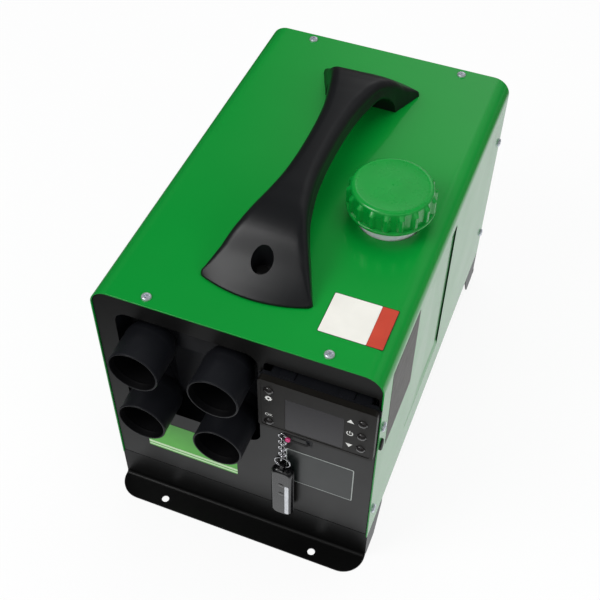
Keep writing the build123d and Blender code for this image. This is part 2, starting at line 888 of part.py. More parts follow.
def heat_exchanger():
    """The cast heat exchanger: a blind tube with long fins and the exhaust boss."""
    fin = Pos((exchanger_radius + fin_radius) / 2 - 1, 0) * Rectangle(
        fin_radius - exchanger_radius + 2, fin_gauge)
    section = Circle(exchanger_radius) + [
        Rot(0, 0, 360 * (n + 0.5) / fin_count) * fin for n in range(fin_count)]
    part = along_y(Pos(heater_x, heater_z) * section, exchanger_front, exchanger_back)
    boss, bore = port_boss(heater_x, exhaust_y, exhaust_radius, pipe_wall)
    part += boss
    part -= bore
    part -= rod_y(exchanger_bore, heater_x, heater_z, exchanger_front + 5.0, exchanger_back + 1)
    return part - rod_z(plug_radius + plug_gap, heater_x, exchanger_back - plug_inset, heater_z,
                        heater_z + fin_radius + 1)


def burner():
    """The steel combustion tube with its mounting flange."""
    y0 = exchanger_back - burner_length
    part = rod_y(burner_radius, heater_x, heater_z, y0, exchanger_back)
    part += rod_y(exchanger_radius, heater_x, heater_z, exchanger_back, blower_front)
    part -= rod_y(burner_radius - burner_gauge, heater_x, heater_z, y0 - 1, exchanger_back - 1)
    part -= rod_y(burner_throat, heater_x, heater_z, exchanger_back - 2 * burner_gauge,
                  blower_front + 1)
    return part - rod_z(burner_plug_hole, heater_x, exchanger_back - plug_inset, heater_z,
                        heater_z + burner_radius + burner_gauge)


def glow_plug():
    """The glow plug, screwed down through the exchanger into the burner."""
    y = exchanger_back - plug_inset
    part = rod_z(plug_radius, heater_x, y, heater_z + exchanger_bore + 0.5,
                 heater_z + fin_radius - 1)
    part += along_z(Pos(heater_x, y) * RegularPolygon(plug_radius, 6),
                    heater_z + fin_radius - 1, heater_z + fin_radius + 4)
    return part + rod_z(plug_tip_radius, heater_x, y, heater_z + burner_radius / 2,
                        heater_z + exchanger_bore + 1)


def blower_housing():
    """The cast blower housing behind the burner, with the air boss and the fuel inlet."""
    part = rod_y(blower_radius, heater_x, heater_z, blower_front, blower_back)
    boss, bore = port_boss(intake_x, intake_y, intake_radius, pipe_wall)
    part += boss
    part -= bore
    part += rod_z(line_radius, fuel_inlet_x, intake_y, fuel_inlet_low, heater_z - 36.0)
    part -= rod_y(blower_bore, heater_x, heater_z, blower_front - 1,
                  blower_front + blower_chamber)
    return part - rod_y(shaft_radius + shaft_running_gap, heater_x, heater_z, blower_front,
                        blower_back + 1)


def blower_motor():
    """The fan motor behind the blower housing."""
    part = rod_y(motor_radius, heater_x, heater_z, blower_back, motor_back)
    part = chamfer(part.edges().group_by(Axis.Y)[-1], 2.0)
    part += rod_y(7.0, heater_x, heater_z, motor_back - 1, motor_back + 3.0)
    return part - rod_y(shaft_radius + shaft_running_gap, heater_x, heater_z, blower_back - 1,
                        motor_back + 4)


def motor_shaft():
    """The shaft that carries both fan wheels."""
    return rod_y(shaft_radius, heater_x, heater_z, blower_front + 3.0,
                 fan_front + fan_width + 2.0)


def fan_blade():
    """One twisted blade of the main fan, standing along +Z on the hub."""
    stations = [(fan_hub_radius - 2.0, 58.0, 19.0, 2.4), (fan_radius, 30.0, 24.0, 1.4)]
    faces = []
    for radius, pitch, chord, thick in stations:
        faces.append(Pos(0, 0, radius) * Rot(0, 0, pitch) * Rectangle(chord, thick))
    blade = loft(faces)
    tip = Rot(90, 0, 0) * Cylinder(fan_radius, fan_width)
    return blade & tip


def main_fan():
    """The main fan wheel: a domed hub with twisted blades."""
    hub = Rot(90, 0, 0) * Cylinder(fan_hub_radius, fan_width)
    hub = fillet(hub.edges().group_by(Axis.Y)[-1], 5.0)
    blades = [Rot(0, 360 * n / fan_blades, 0) * fan_blade() for n in range(fan_blades)]
    wheel = hub + blades
    wheel = Pos(heater_x, fan_front + fan_width / 2, heater_z) * wheel
    return wheel - rod_y(shaft_radius, heater_x, heater_z, fan_front - 1,
                         fan_front + fan_width + 1)


def combustion_fan():
    """The small radial wheel that blows air into the burner."""
    y0 = blower_front + 6.0
    y1 = y0 + wheel_width
    wheel = rod_y(wheel_radius, heater_x, heater_z, y1 - 2.0, y1)
    wheel += rod_y(8.0, heater_x, heater_z, y0, y1)
    for n in range(wheel_blades):
        blade = Pos(20.0, 0, 0) * Rot(0, 35, 0) * Box(17.0, wheel_width - 2.0, 1.4)
        turn = Rot(0, 360 * n / wheel_blades, 0)
        wheel += Pos(heater_x, (y0 + y1) / 2 - 1.0, heater_z) * turn * blade
    return wheel - rod_y(shaft_radius, heater_x, heater_z, y0 - 1, y1 + 1)


def control_board():
    """The control board, hung on four posts from the heater's roof above the motor."""
    roof = heater_z + heater_case_height / 2 - heater_wall
    z = roof - board_drop
    y0 = blower_back + board_setback
    part = block(heater_x - board_width / 2, heater_x + board_width / 2, y0,
                 y0 + board_length, z, z + board_gauge)
    # Chips on a board of 80 by 46, hung 12 under the roof: across, along, size and height
    chips = ((-22, 18, 14, 7), (2, 14, 10, 4), (20, 28, 12, 8), (-10, 34, 12, 3))
    for across, along, size, height in chips:
        x = heater_x + across * board_width / 80
        y = y0 + along * board_length / 46
        reach = size * board_width / 160
        part += block(x - reach, x + reach, y - reach, y + reach, z + board_gauge - 0.2,
                      z + board_gauge + height * board_drop / 12)
    for side in (-1, 1):
        for y in (y0 + board_inset, y0 + board_length - board_inset):
            part += rod_z(board_post, heater_x + side * board_post_half, y, z, roof)
    return part


def overheat_sensor():
    """The clip-on overheat sensor on top of the fins."""
    z = heater_z + fin_radius
    part = block(heater_x - 7, heater_x + 7, -42, -28, z, z + 3.0)
    return part + rod_z(4.0, heater_x, -35.0, z + 2.0, z + 5.5)


def pipe_down(x, y, radius):
    """A straight pipe down through the tray, with a bead where its hose stops."""
    top = heater_low + 0.5
    bead = tray_low - pipe_stop_drop
    pipe = rod_z(radius, x, y, pipe_low, top) + rod_z(radius + 1.2, x, y, bead, bead + 2.0)
    return pipe - rod_z(radius - pipe_wall, x, y, pipe_low - 1, top + 1)


def exhaust_pipe():
    """The exhaust pipe under the heater."""
    return pipe_down(heater_x, exhaust_y, exhaust_radius)


def intake_pipe():
    """The combustion-air pipe under the blower."""
    return pipe_down(intake_x, intake_y, intake_radius)


# ---- Warm-air outlets ---------------------------------------------------------------------------

def air_plenum():
    """The moulded duct from the heater's round nose to the four outlet ports."""
    y0 = panel_back + 0.4
    y1 = front + plenum_depth
    collar_back = heater_front - 1.0
    collar_front = heater_front - nose_length - 2.0
    collar_bore = nose_radius + fit_gap

    middle = (plenum_low + plenum_high) / 2

    def body(margin, start, end):
        section = Pos(outlet_x, middle) * RectangleRounded(
            window_width + 2 * (plenum_lap - margin), plenum_high - plenum_low - 2 * margin,
            window_corner)
        straight = along_y(section, start, y1)
        rear = Plane.XZ.offset(-y1) * section
        radius = collar_bore + collar_wall - margin * collar_wall / plenum_wall
        ring = Plane.XZ.offset(-collar_front) * Pos(heater_x, heater_z) * Circle(radius)
        collar = rod_y(radius, heater_x, heater_z, collar_front, end)
        return straight + loft([rear, ring]) + collar

    part = body(0, y0, collar_back) - body(plenum_wall, y0 - 1, collar_back + 1)
    face = front + plenum_face
    front_wall = along_y(
        Pos(outlet_x, middle) * RectangleRounded(
            window_width + 2 * plenum_lap - plenum_wall, plenum_high - plenum_low - plenum_wall,
            window_corner),
        face, face + plenum_wall)
    # Hub: a raised block with sloping sides, hollowed round the ball heels
    hub = loft([
        Plane.XZ.offset(hub_rise - face) * Pos(outlet_x, outlet_z) * Rectangle(
            2 * hub_half_width, 2 * hub_half_height),
        Plane.XZ.offset(-face) * Pos(outlet_x, outlet_z) * Rectangle(
            2 * (hub_half_width + hub_flare), 2 * (hub_half_height + hub_flare))])
    front_wall += hub
    for x, z in outlet_centres:
        front_wall -= Pos(x, heel_y, z) * Sphere(outlet_radius + outlet_gap / 2)
        front_wall -= rod_y(outlet_neck_radius + fit_gap, x, z, face - 10, face + 80)
    return part + front_wall


def outlet(x, z):
    """One outlet: a straight spout, a ball-shaped heel and a neck into the plenum."""
    mouth = front - outlet_reach
    bore = outlet_radius - outlet_wall
    neck_bore = outlet_neck_radius - outlet_wall
    neck_back = front + plenum_face + plenum_wall + outlet_neck_length

    def revolved(radius, neck, start, end):
        spout = rod_y(radius, 0, 0, start, heel_y)
        ball = Pos(0, heel_y, 0) * Sphere(radius)
        return spout + ball + rod_y(neck, 0, 0, heel_y, end)

    part = revolved(outlet_radius, outlet_neck_radius, mouth, neck_back)
    part -= revolved(bore, neck_bore, mouth - 1, neck_back + 1)
    rim = part.edges().group_by(Axis.Y)[0]
    part = fillet(rim, outlet_wall * 0.4)
    return Pos(x, 0, z) * part


# ---- Controller ---------------------------------------------------------------------------------

def button_places():
    """Each button's name and its place as (X, Z)."""
    places = {}
    for name, z in button_z.items():
        x = left_button_x if name in ("settings", "confirm") else right_button_x
        places[name] = (x, z)
    return places


def controller_holder():
    """The black holder: a box through the panel window with a rim, end lugs and a fob staple."""
    x0, x1 = bezel_left + pod_margin - holder_wall, bezel_right - pod_margin + holder_wall
    z0, z1 = bezel_low + pod_margin - holder_wall, bezel_top + holder_wall
    rim_front = bezel_back
    rim_back = panel_face - sheet_gap
    part = along_y(rounded(x0, x1, z0, z1, 2.0), rim_back - 1.0, front + holder_back)
    part += along_y(rounded(bezel_left + 0.8, bezel_right - 0.8, bezel_low + 0.8, z1, 2.0),
                    rim_front, rim_back)
    part -= along_y(
        rounded(x0 + holder_wall, x1 - holder_wall, z0 + holder_wall, z1 - holder_wall, 1.5),
        rim_front - 1, front + holder_back - holder_wall)
    for x in (bezel_left + 16.0, bezel_right - 34.0):
        part += block(x, x + 12.0, rim_front + 1.0, rim_back + 5.0, z1 - 0.5, z1 + 1.6)
    for x in (bezel_left, bezel_right):
        part += block(x - 1.5, x + 1.5, rim_front, front - sheet_gap,
                      bezel_top - 9.0, bezel_top - 1.0)
    # Hook for the fob's loop, under the bezel
    x = fob_x + loop_length - 2 * loop_wire
    y = front - fob_reach
    part += block(x - 2.5, x + 2.5, y - 0.8, rim_back, bezel_low - 3.3, bezel_low - 0.3)
    part += block(x - 2.5, x + 2.5, rim_front + 0.3, rim_back, bezel_low - 3.3, bezel_low + 2.0)
    part += block(x - 2.5, x + 2.5, y - 0.8, y + 0.8, fob_pivot_z - 3.0, bezel_low - 0.3)
    return part - rod_y(loop_wire + 0.3, x, fob_pivot_z, y - 1, y + 1)


def controller_case():
    """The controller: a thin bezel, the pod behind it, the screen recess and button pockets."""
    part = along_y(rounded(bezel_left, bezel_right, bezel_low, bezel_top, bezel_corner),
                   bezel_face, bezel_back)
    part = fillet(part.edges().group_by(Axis.Y)[0], 1.2)
    part += along_y(
        rounded(bezel_left + pod_margin + 0.3, bezel_right - pod_margin - 0.3,
                bezel_low + pod_margin + 0.3, bezel_top - 0.3, 1.5),
        bezel_back - 0.5, bezel_back + pod_depth)
    part -= along_y(
        rounded(screen_left - 0.2, screen_left + screen_width + 0.2, screen_low - 0.2,
                screen_low + screen_height + 0.2, 1.2),
        bezel_face - 1, bezel_face + screen_gauge + 0.2)
    for x, z in button_places().values():
        part -= rod_y(button_radius + button_gap, x, z, bezel_face - 1,
                      bezel_face + button_length + button_travel + 0.5)
    return part


def controller_screen():
    """The screen window, set into the bezel."""
    y0 = bezel_face + 0.2
    return along_y(
        rounded(screen_left, screen_left + screen_width, screen_low,
                screen_low + screen_height, 1.0),
        y0, y0 + screen_gauge)


def button(x, z):
    """One domed controller button."""
    ball = (button_radius ** 2 + button_dome ** 2) / (2 * button_dome)
    crown = Pos(0, ball - button_dome, 0) * Sphere(ball)
    crown &= rod_y(button_radius, 0, 0, -button_dome - 1, 0.2)
    stem = rod_y(button_radius, 0, 0, 0, button_length)
    return Pos(x, bezel_face, z) * (crown + stem)


# ---- Key fob ------------------------------------------------------------------------------------

def wire_ring(radius, wire, z, facing_front):
    """A closed wire ring on the fob's line, facing the front or facing the side."""
    turn = Rot(90, 0, 0) if facing_front else Rot(0, 90, 0)
    return Pos(fob_x, front - fob_reach, z) * turn * Torus(radius, wire)


def fob_loop():
    """The flat cord loop that hangs from the hook under the bezel and carries the chain."""
    y = front - fob_reach
    length = loop_length - 2 * loop_wire
    track = Pos(fob_x + length / 2, y, fob_pivot_z) * SlotOverall(
        length, loop_width - 2 * loop_wire)
    path = track.face().outer_wire()
    start = Plane(origin=path @ 0, z_dir=path % 0)
    return sweep(start * Circle(loop_wire), path=path)


def fob_chain():
    """The short chain from the loop down to the split ring."""
    return [wire_ring(link_radius, link_wire, link_top - n * link_step, n % 2 == 0)
            for n in range(link_count)]


def fob_ring():
    """The split ring that carries the fob."""
    return wire_ring(split_ring_radius, split_ring_wire, ring_z, link_count % 2 == 0)


def fob_body():
    """The key fob: a rounded case with an eye at its top and two button pockets."""
    y = front - fob_reach
    body = along_y(
        rounded(fob_x - fob_width / 2, fob_x + fob_width / 2, fob_high - fob_length, fob_high,
                6.0),
        y - fob_depth / 2, y + fob_depth / 2)
    body = fillet(body.edges().group_by(Axis.Y)[0] + body.edges().group_by(Axis.Y)[-1], 2.4)
    side = link_count % 2 == 1
    turn = Rot(90, 0, 0) if side else Rot(0, 90, 0)
    body += Pos(fob_x, y, fob_high + 1.2) * turn * Cylinder(4.6, 3.0)
    body -= Pos(fob_x, y, fob_high + 3.2) * turn * Cylinder(1.5, 4.0)
    for z in fob_button_heights():
        body -= rod_y(fob_button_radius + 0.3, fob_x, z, y - fob_depth / 2 - 1,
                      y - fob_depth / 2 + 3.0)
    return body


def fob_button_heights():
    """The heights of the fob's two buttons."""
    return [fob_high - 0.30 * fob_length, fob_high - 0.50 * fob_length]


def fob_button(z):
    """One of the fob's buttons."""
    face = front - fob_reach - fob_depth / 2
    part = rod_y(fob_button_radius, fob_x, z, face - 0.5, face + 2.2)
    return fillet(part.edges().group_by(Axis.Y)[0], 0.4)


# ---- Writing ------------------------------------------------------------------------------------

def nodes():
    """Every sub-part by name."""
    made = {
        "shell": shell(),
        "front_panel": front_panel(),
        "rear_panel": rear_panel(),
        "base_tray": base_tray(),
        "front_foot": front_foot(),
        "rear_foot": rear_foot(),
        "service_hatch": service_hatch(),
        "shell_screws": shell_screws(),
        "foot_bolts": foot_bolts(),
        "side_grommet": side_grommet(),
        "cable_gland": cable_gland(),
        "handle": handle(),
        "handle_screws": handle_screws(),
        "fuel_tank": fuel_tank(),
        "filler_cap": filler_cap(),
        "cap_seal": cap_seal(),
        "tank_shelf": tank_shelf(),
        "fuel_filter": fuel_filter(),
        "fuel_pump": fuel_pump(),
        "pump_mount": pump_mount(),
        "fuel_line_tank": fuel_line_tank(),
        "fuel_line_pump": fuel_line_pump(),
        "fuel_line_heater": fuel_line_heater(),
        "heater_stand": heater_stand(),
        "heater_gasket": heater_gasket(),
        "heater_lower_case": heater_lower_case(),
        "heater_upper_case": heater_upper_case(),
        "heat_exchanger": heat_exchanger(),
        "burner": burner(),
        "glow_plug": glow_plug(),
        "blower_housing": blower_housing(),
        "blower_motor": blower_motor(),
        "motor_shaft": motor_shaft(),
        "main_fan": main_fan(),
        "combustion_fan": combustion_fan(),
        "control_board": control_board(),
        "overheat_sensor": overheat_sensor(),
        "exhaust_pipe": exhaust_pipe(),
        "intake_pipe": intake_pipe(),
        "air_plenum": air_plenum(),
        "controller_holder": controller_holder(),
        "controller_case": controller_case(),
        "controller_screen": controller_screen(),
        "fob_loop": fob_loop(),
        "fob_chain": fob_chain(),
        "fob_ring": fob_ring(),
        "fob_body": fob_body(),
    }
    for n, (x, z) in enumerate(outlet_centres, 1):
        made[f"outlet_{n}"] = outlet(x, z)
    for name, (x, z) in button_places().items():
        made[f"button_{name}"] = button(x, z)
    for name, z in zip(("on", "off"), fob_button_heights()):
        made[f"fob_button_{name}"] = fob_button(z)
    return made


def solids_of(part):
    """All separate solids in a piece or a list of pieces."""
    pieces = part if isinstance(part, list) else [part]
    return [solid for piece in pieces for solid in piece.solids()]


def write(name, part):
    """Write one sub-part to its own STEP file."""
    solids = solids_of(part)
    shape = solids[0] if len(solids) == 1 else Compound(children=solids)
    export_step(shape, f"parts/{name}.step")


os.makedirs("parts", exist_ok=True)
for node_name, node_part in nodes().items():
    write(node_name, node_part)
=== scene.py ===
"""Diesel air heater in a folded carry case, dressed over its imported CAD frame.

Lengths are written in millimetres, in the CAD's frame: +X is to the right and +Y to the back seen
from the front, +Z is up, and the origin is the centre of the four floor holes. Each piece is
turned into metres when its mesh is made.
"""

from __future__ import annotations

import json
import logging
import math
from dataclasses import dataclass
from enum import Enum
from typing import Any, Iterable, Sequence

import bmesh
import bpy
import numpy as np
from mathutils import Matrix, Vector
from mathutils.geometry import tessellate_polygon

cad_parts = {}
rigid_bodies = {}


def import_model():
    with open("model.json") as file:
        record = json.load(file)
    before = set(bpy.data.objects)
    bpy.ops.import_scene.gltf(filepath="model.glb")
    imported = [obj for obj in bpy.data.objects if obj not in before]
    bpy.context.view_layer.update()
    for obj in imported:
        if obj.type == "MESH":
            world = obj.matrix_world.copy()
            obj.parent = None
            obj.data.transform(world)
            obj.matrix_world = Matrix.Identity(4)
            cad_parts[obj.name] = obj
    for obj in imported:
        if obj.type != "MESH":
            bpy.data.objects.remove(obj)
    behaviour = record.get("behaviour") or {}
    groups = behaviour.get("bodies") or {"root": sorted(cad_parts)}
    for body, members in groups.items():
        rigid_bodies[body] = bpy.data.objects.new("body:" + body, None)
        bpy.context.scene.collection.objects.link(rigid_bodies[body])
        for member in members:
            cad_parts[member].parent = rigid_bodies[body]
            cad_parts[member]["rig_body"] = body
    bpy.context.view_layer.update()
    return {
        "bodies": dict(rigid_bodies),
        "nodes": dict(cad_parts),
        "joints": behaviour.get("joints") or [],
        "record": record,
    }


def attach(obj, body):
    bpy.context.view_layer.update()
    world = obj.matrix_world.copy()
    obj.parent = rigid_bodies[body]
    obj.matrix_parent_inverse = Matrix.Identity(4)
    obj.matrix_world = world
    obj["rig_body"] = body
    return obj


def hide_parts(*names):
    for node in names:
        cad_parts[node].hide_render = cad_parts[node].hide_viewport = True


LOG = logging.getLogger("heater")
MM = 0.001
FULL_TURN = 2 * math.pi
HALF = 125.0  # half the cover's width
FRONT = -194.0  # the cover's front edge
TOP = 278.0  # the cover's top
NECK = (73.0, -27.3)  # the filler neck's axis
SPOUT_X = (-77.5, -6.5)  # the two columns of outlets
SPOUT_Z = (224.0, 153.0)  # the two rows of outlets
Colour = tuple[float, float, float]
Points = np.ndarray


def screen(colour: Colour) -> Colour:
    """A colour in screen values from 0 to 255, as linear light."""
    parts = np.array(colour) / 255.0
    linear = np.where(parts <= 0.04045, parts / 12.92, ((parts + 0.055) / 1.055) ** 2.4)
    return tuple(linear.tolist())


# ---- Shaders ------------------------------------------------------------------------------------


class Value:
    """An output inside a shader, on which Python's operators add Math nodes."""

    def __init__(self, shader: Shader, socket: bpy.types.NodeSocket) -> None:
        """Wraps one output socket of a shader."""
        self.shader, self.socket = shader, socket

    def calc(self, operation: str, other: Any) -> Value:
        """One Math node on this value and another."""
        return self.shader.value("Math", {0: self, 1: other}, operation=operation)

    def __add__(self, other: Any) -> Value:
        """self + other."""
        return self.calc("ADD", other)

    def __mul__(self, other: Any) -> Value:
        """self * other."""
        return self.calc("MULTIPLY", other)

    def __pow__(self, other: Any) -> Value:
        """self ** other."""
        return self.calc("POWER", other)

    def ramp(self, low: float, high: float) -> Value:
        """0 at low and under, 1 at high and over, and straight between them."""
        return self.shader.value("MapRange", {"Value": self, "From Min": low, "From Max": high},
                                 clamp=True)


class Shader:
    """The node tree of a material or of the world."""

    def __init__(self, owner: bpy.types.Material | bpy.types.World, output: str) -> None:
        """Empties the owner's tree and adds its output node."""
        owner.use_nodes = True
        self.owner, self.tree = owner, owner.node_tree
        self.tree.nodes.clear()
        self.output = self.node(output)

    def node(self, kind: str, inputs: dict[Any, Any] | None = None,
             **settings: Any) -> bpy.types.Node:
        """Adds a node.

        Args:
            kind: The node's type, without Blender's prefix.
            inputs: Values or links of its sockets, by name or number.
            **settings: Its own settings; stops are a ramp's (place, grey) pairs.

        Returns:
            The new node.
        """
        node = self.tree.nodes.new(f"ShaderNode{kind}")
        stops = settings.pop("stops", ())
        for key, value in settings.items():
            setattr(node, key, value)
        if stops:
            elements = node.color_ramp.elements
            while len(elements) < len(stops):
                elements.new(0.5)
            for element, (place, grey) in zip(elements, stops):
                element.position = place
                element.color = (grey, grey, grey, 1.0)
        for key, value in (inputs or {}).items():
            self.feed(node.inputs[key], value)
        return node

    def value(self, kind: str, inputs: dict[Any, Any] | None = None, output: Any = 0,
              **settings: Any) -> Value:
        """Adds a node as node() does, and wraps one of its outputs."""
        return Value(self, self.node(kind, inputs, **settings).outputs[output])

    def feed(self, socket: bpy.types.NodeSocket, value: Any) -> None:
        """Links or sets one input socket."""
        if isinstance(value, Value):
            self.tree.links.new(value.socket, socket)
        elif socket.type == "RGBA":
            socket.default_value = (*value[:3], 1.0)
        else:
            socket.default_value = value

    def end(self, surface: Value) -> None:
        """Links the last node to the tree's output."""
        self.feed(self.output.inputs["Surface"], surface)

    def place(self) -> Value:
        """Object coordinates in millimetres."""
        coords = self.value("TexCoord", output="Object")
        return self.value("Mapping", {"Vector": coords, "Scale": (1 / MM, 1 / MM, 1 / MM)})

    def axis(self, name: str) -> Value:
        """One object coordinate in millimetres."""
        return self.value("SeparateXYZ", {0: self.place()}, name)

    def ray(self, kind: str) -> Value:
        """1 for rays of one kind, else 0."""
        return self.value("LightPath", output=f"Is {kind} Ray")

    def noise(self, size: float, detail: float) -> Value:
        """Soft noise from 0 to 1 with features of a size in millimetres."""
        return self.value("TexNoise", {"Vector": self.place(), "Scale": 1.0 / size,
                                       "Detail": detail})

    def blend(self, mask: Any, first: Any, second: Any) -> Value:
        """A colour between two colours."""
        return self.value("Mix", {0: mask, 6: first, 7: second}, 2, data_type="RGBA")

    def bump(self, height: Value, depth: float) -> Value:
        """A normal from a height map whose full scale is a depth in millimetres."""
        return self.value("Bump", {"Strength": 1.0, "Distance": depth * MM, "Height": height})


@dataclass(frozen=True)
class Finish:
    """A moulded, cast, painted or rolled finish with slow colour change and a fine grain.

    The colour goes from base to shade over a slow noise, whose features are as long as the drift;
    roughness swings round its middle over another, and a fine noise gives the grain its bump.
    Colours are in screen values, and lengths in millimetres.
    """

    name: str
    base: Colour
    shade: Colour
    roughness: float
    swing: float
    grain: float
    depth: float
    drift: float
    metallic: float = 0.0
    coat: float = 0.0
    coat_roughness: float = 0.08
    specular: float = 0.5
    milky: float = 0.0

    def colour(self, shader: Shader) -> Value:
        """The colour over the surface."""
        slow = shader.noise(self.drift, 3.0).ramp(0.3, 0.7)
        return shader.blend(slow, screen(self.base), screen(self.shade))

    def material(self) -> bpy.types.Material:
        """The finish as a material, made once."""
        known = bpy.data.materials.get(self.name)
        if known:
            return known
        shader = Shader(bpy.data.materials.new(self.name), "OutputMaterial")
        rough = shader.noise(self.drift * 0.4, 4.0)
        grain = shader.noise(self.grain, 3.0)
        sockets = {"Base Color": self.colour(shader),
                   "Roughness": rough * (2 * self.swing) + (self.roughness - self.swing),
                   "Metallic": self.metallic, "IOR": 1.5, "Specular IOR Level": self.specular,
                   "Normal": shader.bump(grain, self.depth)}
        if self.coat:
            sockets |= {"Coat Weight": self.coat, "Coat Roughness": self.coat_roughness,
                        "Coat IOR": 1.5}
        if self.milky:
            sockets |= {"Subsurface Weight": self.milky, "Subsurface Scale": 0.6,
                        "Subsurface Radius": (0.006, 0.006, 0.005)}
        shader.end(shader.value("BsdfPrincipled", sockets))
        return shader.owner


@dataclass(frozen=True)
class Printed(Finish):
    """A printed vinyl label with bands of ink across it, from one height to another each."""

    ink: Colour = (255, 255, 255)
    bands: tuple[tuple[float, float], ...] = ()

    def colour(self, shader: Shader) -> Value:
        """The ground colour with its bands of ink."""
        ground = super().colour(shader)
        for low, high in self.bands:
            height = shader.axis("Z")
            inside = height.calc("GREATER_THAN", low) * height.calc("LESS_THAN", high)
            ground = shader.blend(inside, ground, screen(self.ink))
        return ground


class Look:
    """Every finish of the heater by name."""

    # Name, base and shade, roughness and its swing, the grain's size and depth, and the drift
    ENAMEL = Finish("green_enamel", (0, 143, 48), (0, 136, 46), 0.32, 0.05, 3.2, 0.02, 160.0,
                    coat=0.45, specular=0.25)
    # Painted shadow: a dark green finish that stands in for the shade in the hatch's rear step
    SHADOW_GAP = Finish("painted_gap_shadow", (16, 40, 24), (12, 34, 20), 0.6, 0.08, 0.6, 0.01, 20.0,
                        specular=0.1)
    BLACK_COAT = Finish("black_powder_coat", (16, 16, 16), (20, 20, 19), 0.34, 0.06, 1.4, 0.014,
                        90.0, specular=0.36)
    # Painted shade: a darker copy of the black powder coat, for the feet and the bolt heads down
    # in the handle's bores
    SHADED_BLACK_COAT = Finish("black_coat_painted_shade", (6, 6, 6), (8, 8, 8), 0.38, 0.06, 1.4, 0.014, 90.0,
                       specular=0.22)
    ZINC = Finish("bright_zinc", (222, 228, 236), (200, 206, 214), 0.34, 0.1, 0.35, 0.01, 3.0,
                  metallic=0.7)
    GRIP = Finish("charcoal_grip_plastic", (21, 22, 24), (16, 17, 19), 0.36, 0.05, 0.45, 0.018,
                  70.0, specular=0.36)
    CAP = Finish("green_cap_plastic", (2, 150, 54), (2, 143, 50), 0.28, 0.06, 0.7, 0.006, 30.0,
                 coat=0.4, coat_roughness=0.1, milky=0.12)
    MILKY = Finish("milky_tank_plastic", (240, 248, 246), (232, 244, 240), 0.38, 0.06, 1.1, 0.01,
                   30.0, milky=0.5)
    DUCT = Finish("black_duct_plastic", (24, 25, 29), (20, 21, 25), 0.42, 0.08, 0.5, 0.02, 25.0,
                  specular=0.3)
    # Painted shade: a darker copy of the duct plastic, for the shade inside the spouts' bores
    DUCT_BORE_SHADE = Finish("duct_bore_painted_shade", (6, 6, 8), (4, 4, 6), 0.6, 0.08, 0.6, 0.02, 20.0,
                         specular=0.2)
    RUBBER = Finish("black_rubber", (26, 26, 26), (33, 32, 32), 0.62, 0.08, 0.3, 0.02, 9.0)
    BEZEL = Finish("dark_bezel_plastic", (27, 25, 22), (22, 20, 18), 0.42, 0.06, 0.3, 0.008, 40.0,
                   specular=0.3)
    KEY = Finish("dark_key_plastic", (34, 31, 31), (28, 26, 26), 0.22, 0.05, 0.3, 0.004, 8.0,
                 coat=0.6, coat_roughness=0.06)
    SCREEN = Finish("unlit_screen", (36, 34, 37), (32, 31, 34), 0.14, 0.03, 0.6, 0.001, 50.0,
                    specular=0.35)
    INK = Finish("white_marking_ink", (236, 236, 232), (224, 224, 220), 0.5, 0.05, 0.3, 0.004, 6.0)
    CHROME = Finish("chrome_wire", (226, 226, 228), (206, 206, 210), 0.1, 0.05, 0.4, 0.002, 4.0,
                    metallic=1.0)
    FOB = Finish("polished_fob_plastic", (14, 14, 16), (18, 18, 20), 0.22, 0.04, 0.5, 0.003, 20.0,
                 coat=0.3)
    FOB_TRIM = Finish("fob_trim", (224, 226, 230), (206, 208, 212), 0.3, 0.08, 0.4, 0.004, 8.0,
                      metallic=0.6)
    BEAD = Finish("pink_bead", (214, 70, 130), (200, 56, 116), 0.25, 0.05, 0.5, 0.003, 5.0)
    CAST = Finish("cast_alloy", (182, 184, 186), (160, 162, 165), 0.44, 0.12, 0.8, 0.04, 18.0,
                  metallic=0.9)
    HEATED = Finish("heat_tinted_steel", (150, 140, 128), (112, 100, 92), 0.36, 0.12, 0.5, 0.015,
                    26.0, metallic=1.0)
    MOULDED = Finish("grey_case_plastic", (66, 67, 70), (56, 57, 60), 0.5, 0.08, 0.6, 0.03, 40.0)
    FIBRE = Finish("pressed_fibre", (118, 112, 104), (96, 90, 84), 0.85, 0.08, 0.4, 0.05, 8.0)
    BOARD = Finish("board_lacquer", (24, 96, 50), (18, 82, 42), 0.3, 0.08, 1.0, 0.02, 12.0)
    LABEL_GREEN = Printed("pale_green_label", (92, 184, 70), (80, 172, 60), 0.34, 0.05, 0.8, 0.004,
                          30.0, ink=(205, 232, 190), bands=((70.5, 72.6), (74.2, 77.4)))
    LABEL_DARK = Finish("dark_label", (20, 26, 26), (26, 31, 30), 0.3, 0.05, 0.8, 0.004, 30.0)
    LABEL_EDGE = Finish("pale_label_border", (176, 182, 178), (160, 166, 162), 0.4, 0.05, 0.8,
                        0.004, 30.0)
    LABEL_DATA = Printed("grey_data_label", (62, 58, 52), (54, 50, 45), 0.46, 0.06, 0.5, 0.004,
                         26.0, specular=0.3, ink=(96, 92, 86),
                         bands=tuple(((z, z + 0.5) for z in range(172, 250, 13))))
    LABEL_WHITE = Finish("white_label", (238, 236, 228), (228, 226, 218), 0.36, 0.05, 0.8, 0.004,
                         30.0)
    LABEL_RED = Finish("red_label", (196, 66, 44), (184, 58, 40), 0.34, 0.05, 0.8, 0.004, 20.0)


# ---- Points -------------------------------------------------------------------------------------


def points(*coordinates: Any) -> Points:
    """Points from coordinates, each a number or an array that broadcasts to the others."""
    return np.stack(np.broadcast_arrays(*coordinates), -1).astype(float)


def run(start: float, *legs: tuple[int, float]) -> Points:
    """Numbers from a start through legs of (steps, end), even within each leg."""
    parts = [np.array([start])]
    for steps, end in legs:
        parts.append(np.linspace(start, end, steps + 1)[1:])
        start = end
    return np.concatenate(parts)


def round_angles(steps: int) -> Points:
    """Evenly spaced angles round a full turn."""
    return np.linspace(0, FULL_TURN, steps, endpoint=False)


def polar(radius: Any, angle: Points, *height: Any) -> Points:
    """Points (radius cos angle, radius sin angle), with their height where it is given."""
    return points(radius * np.cos(angle), radius * np.sin(angle), *height)


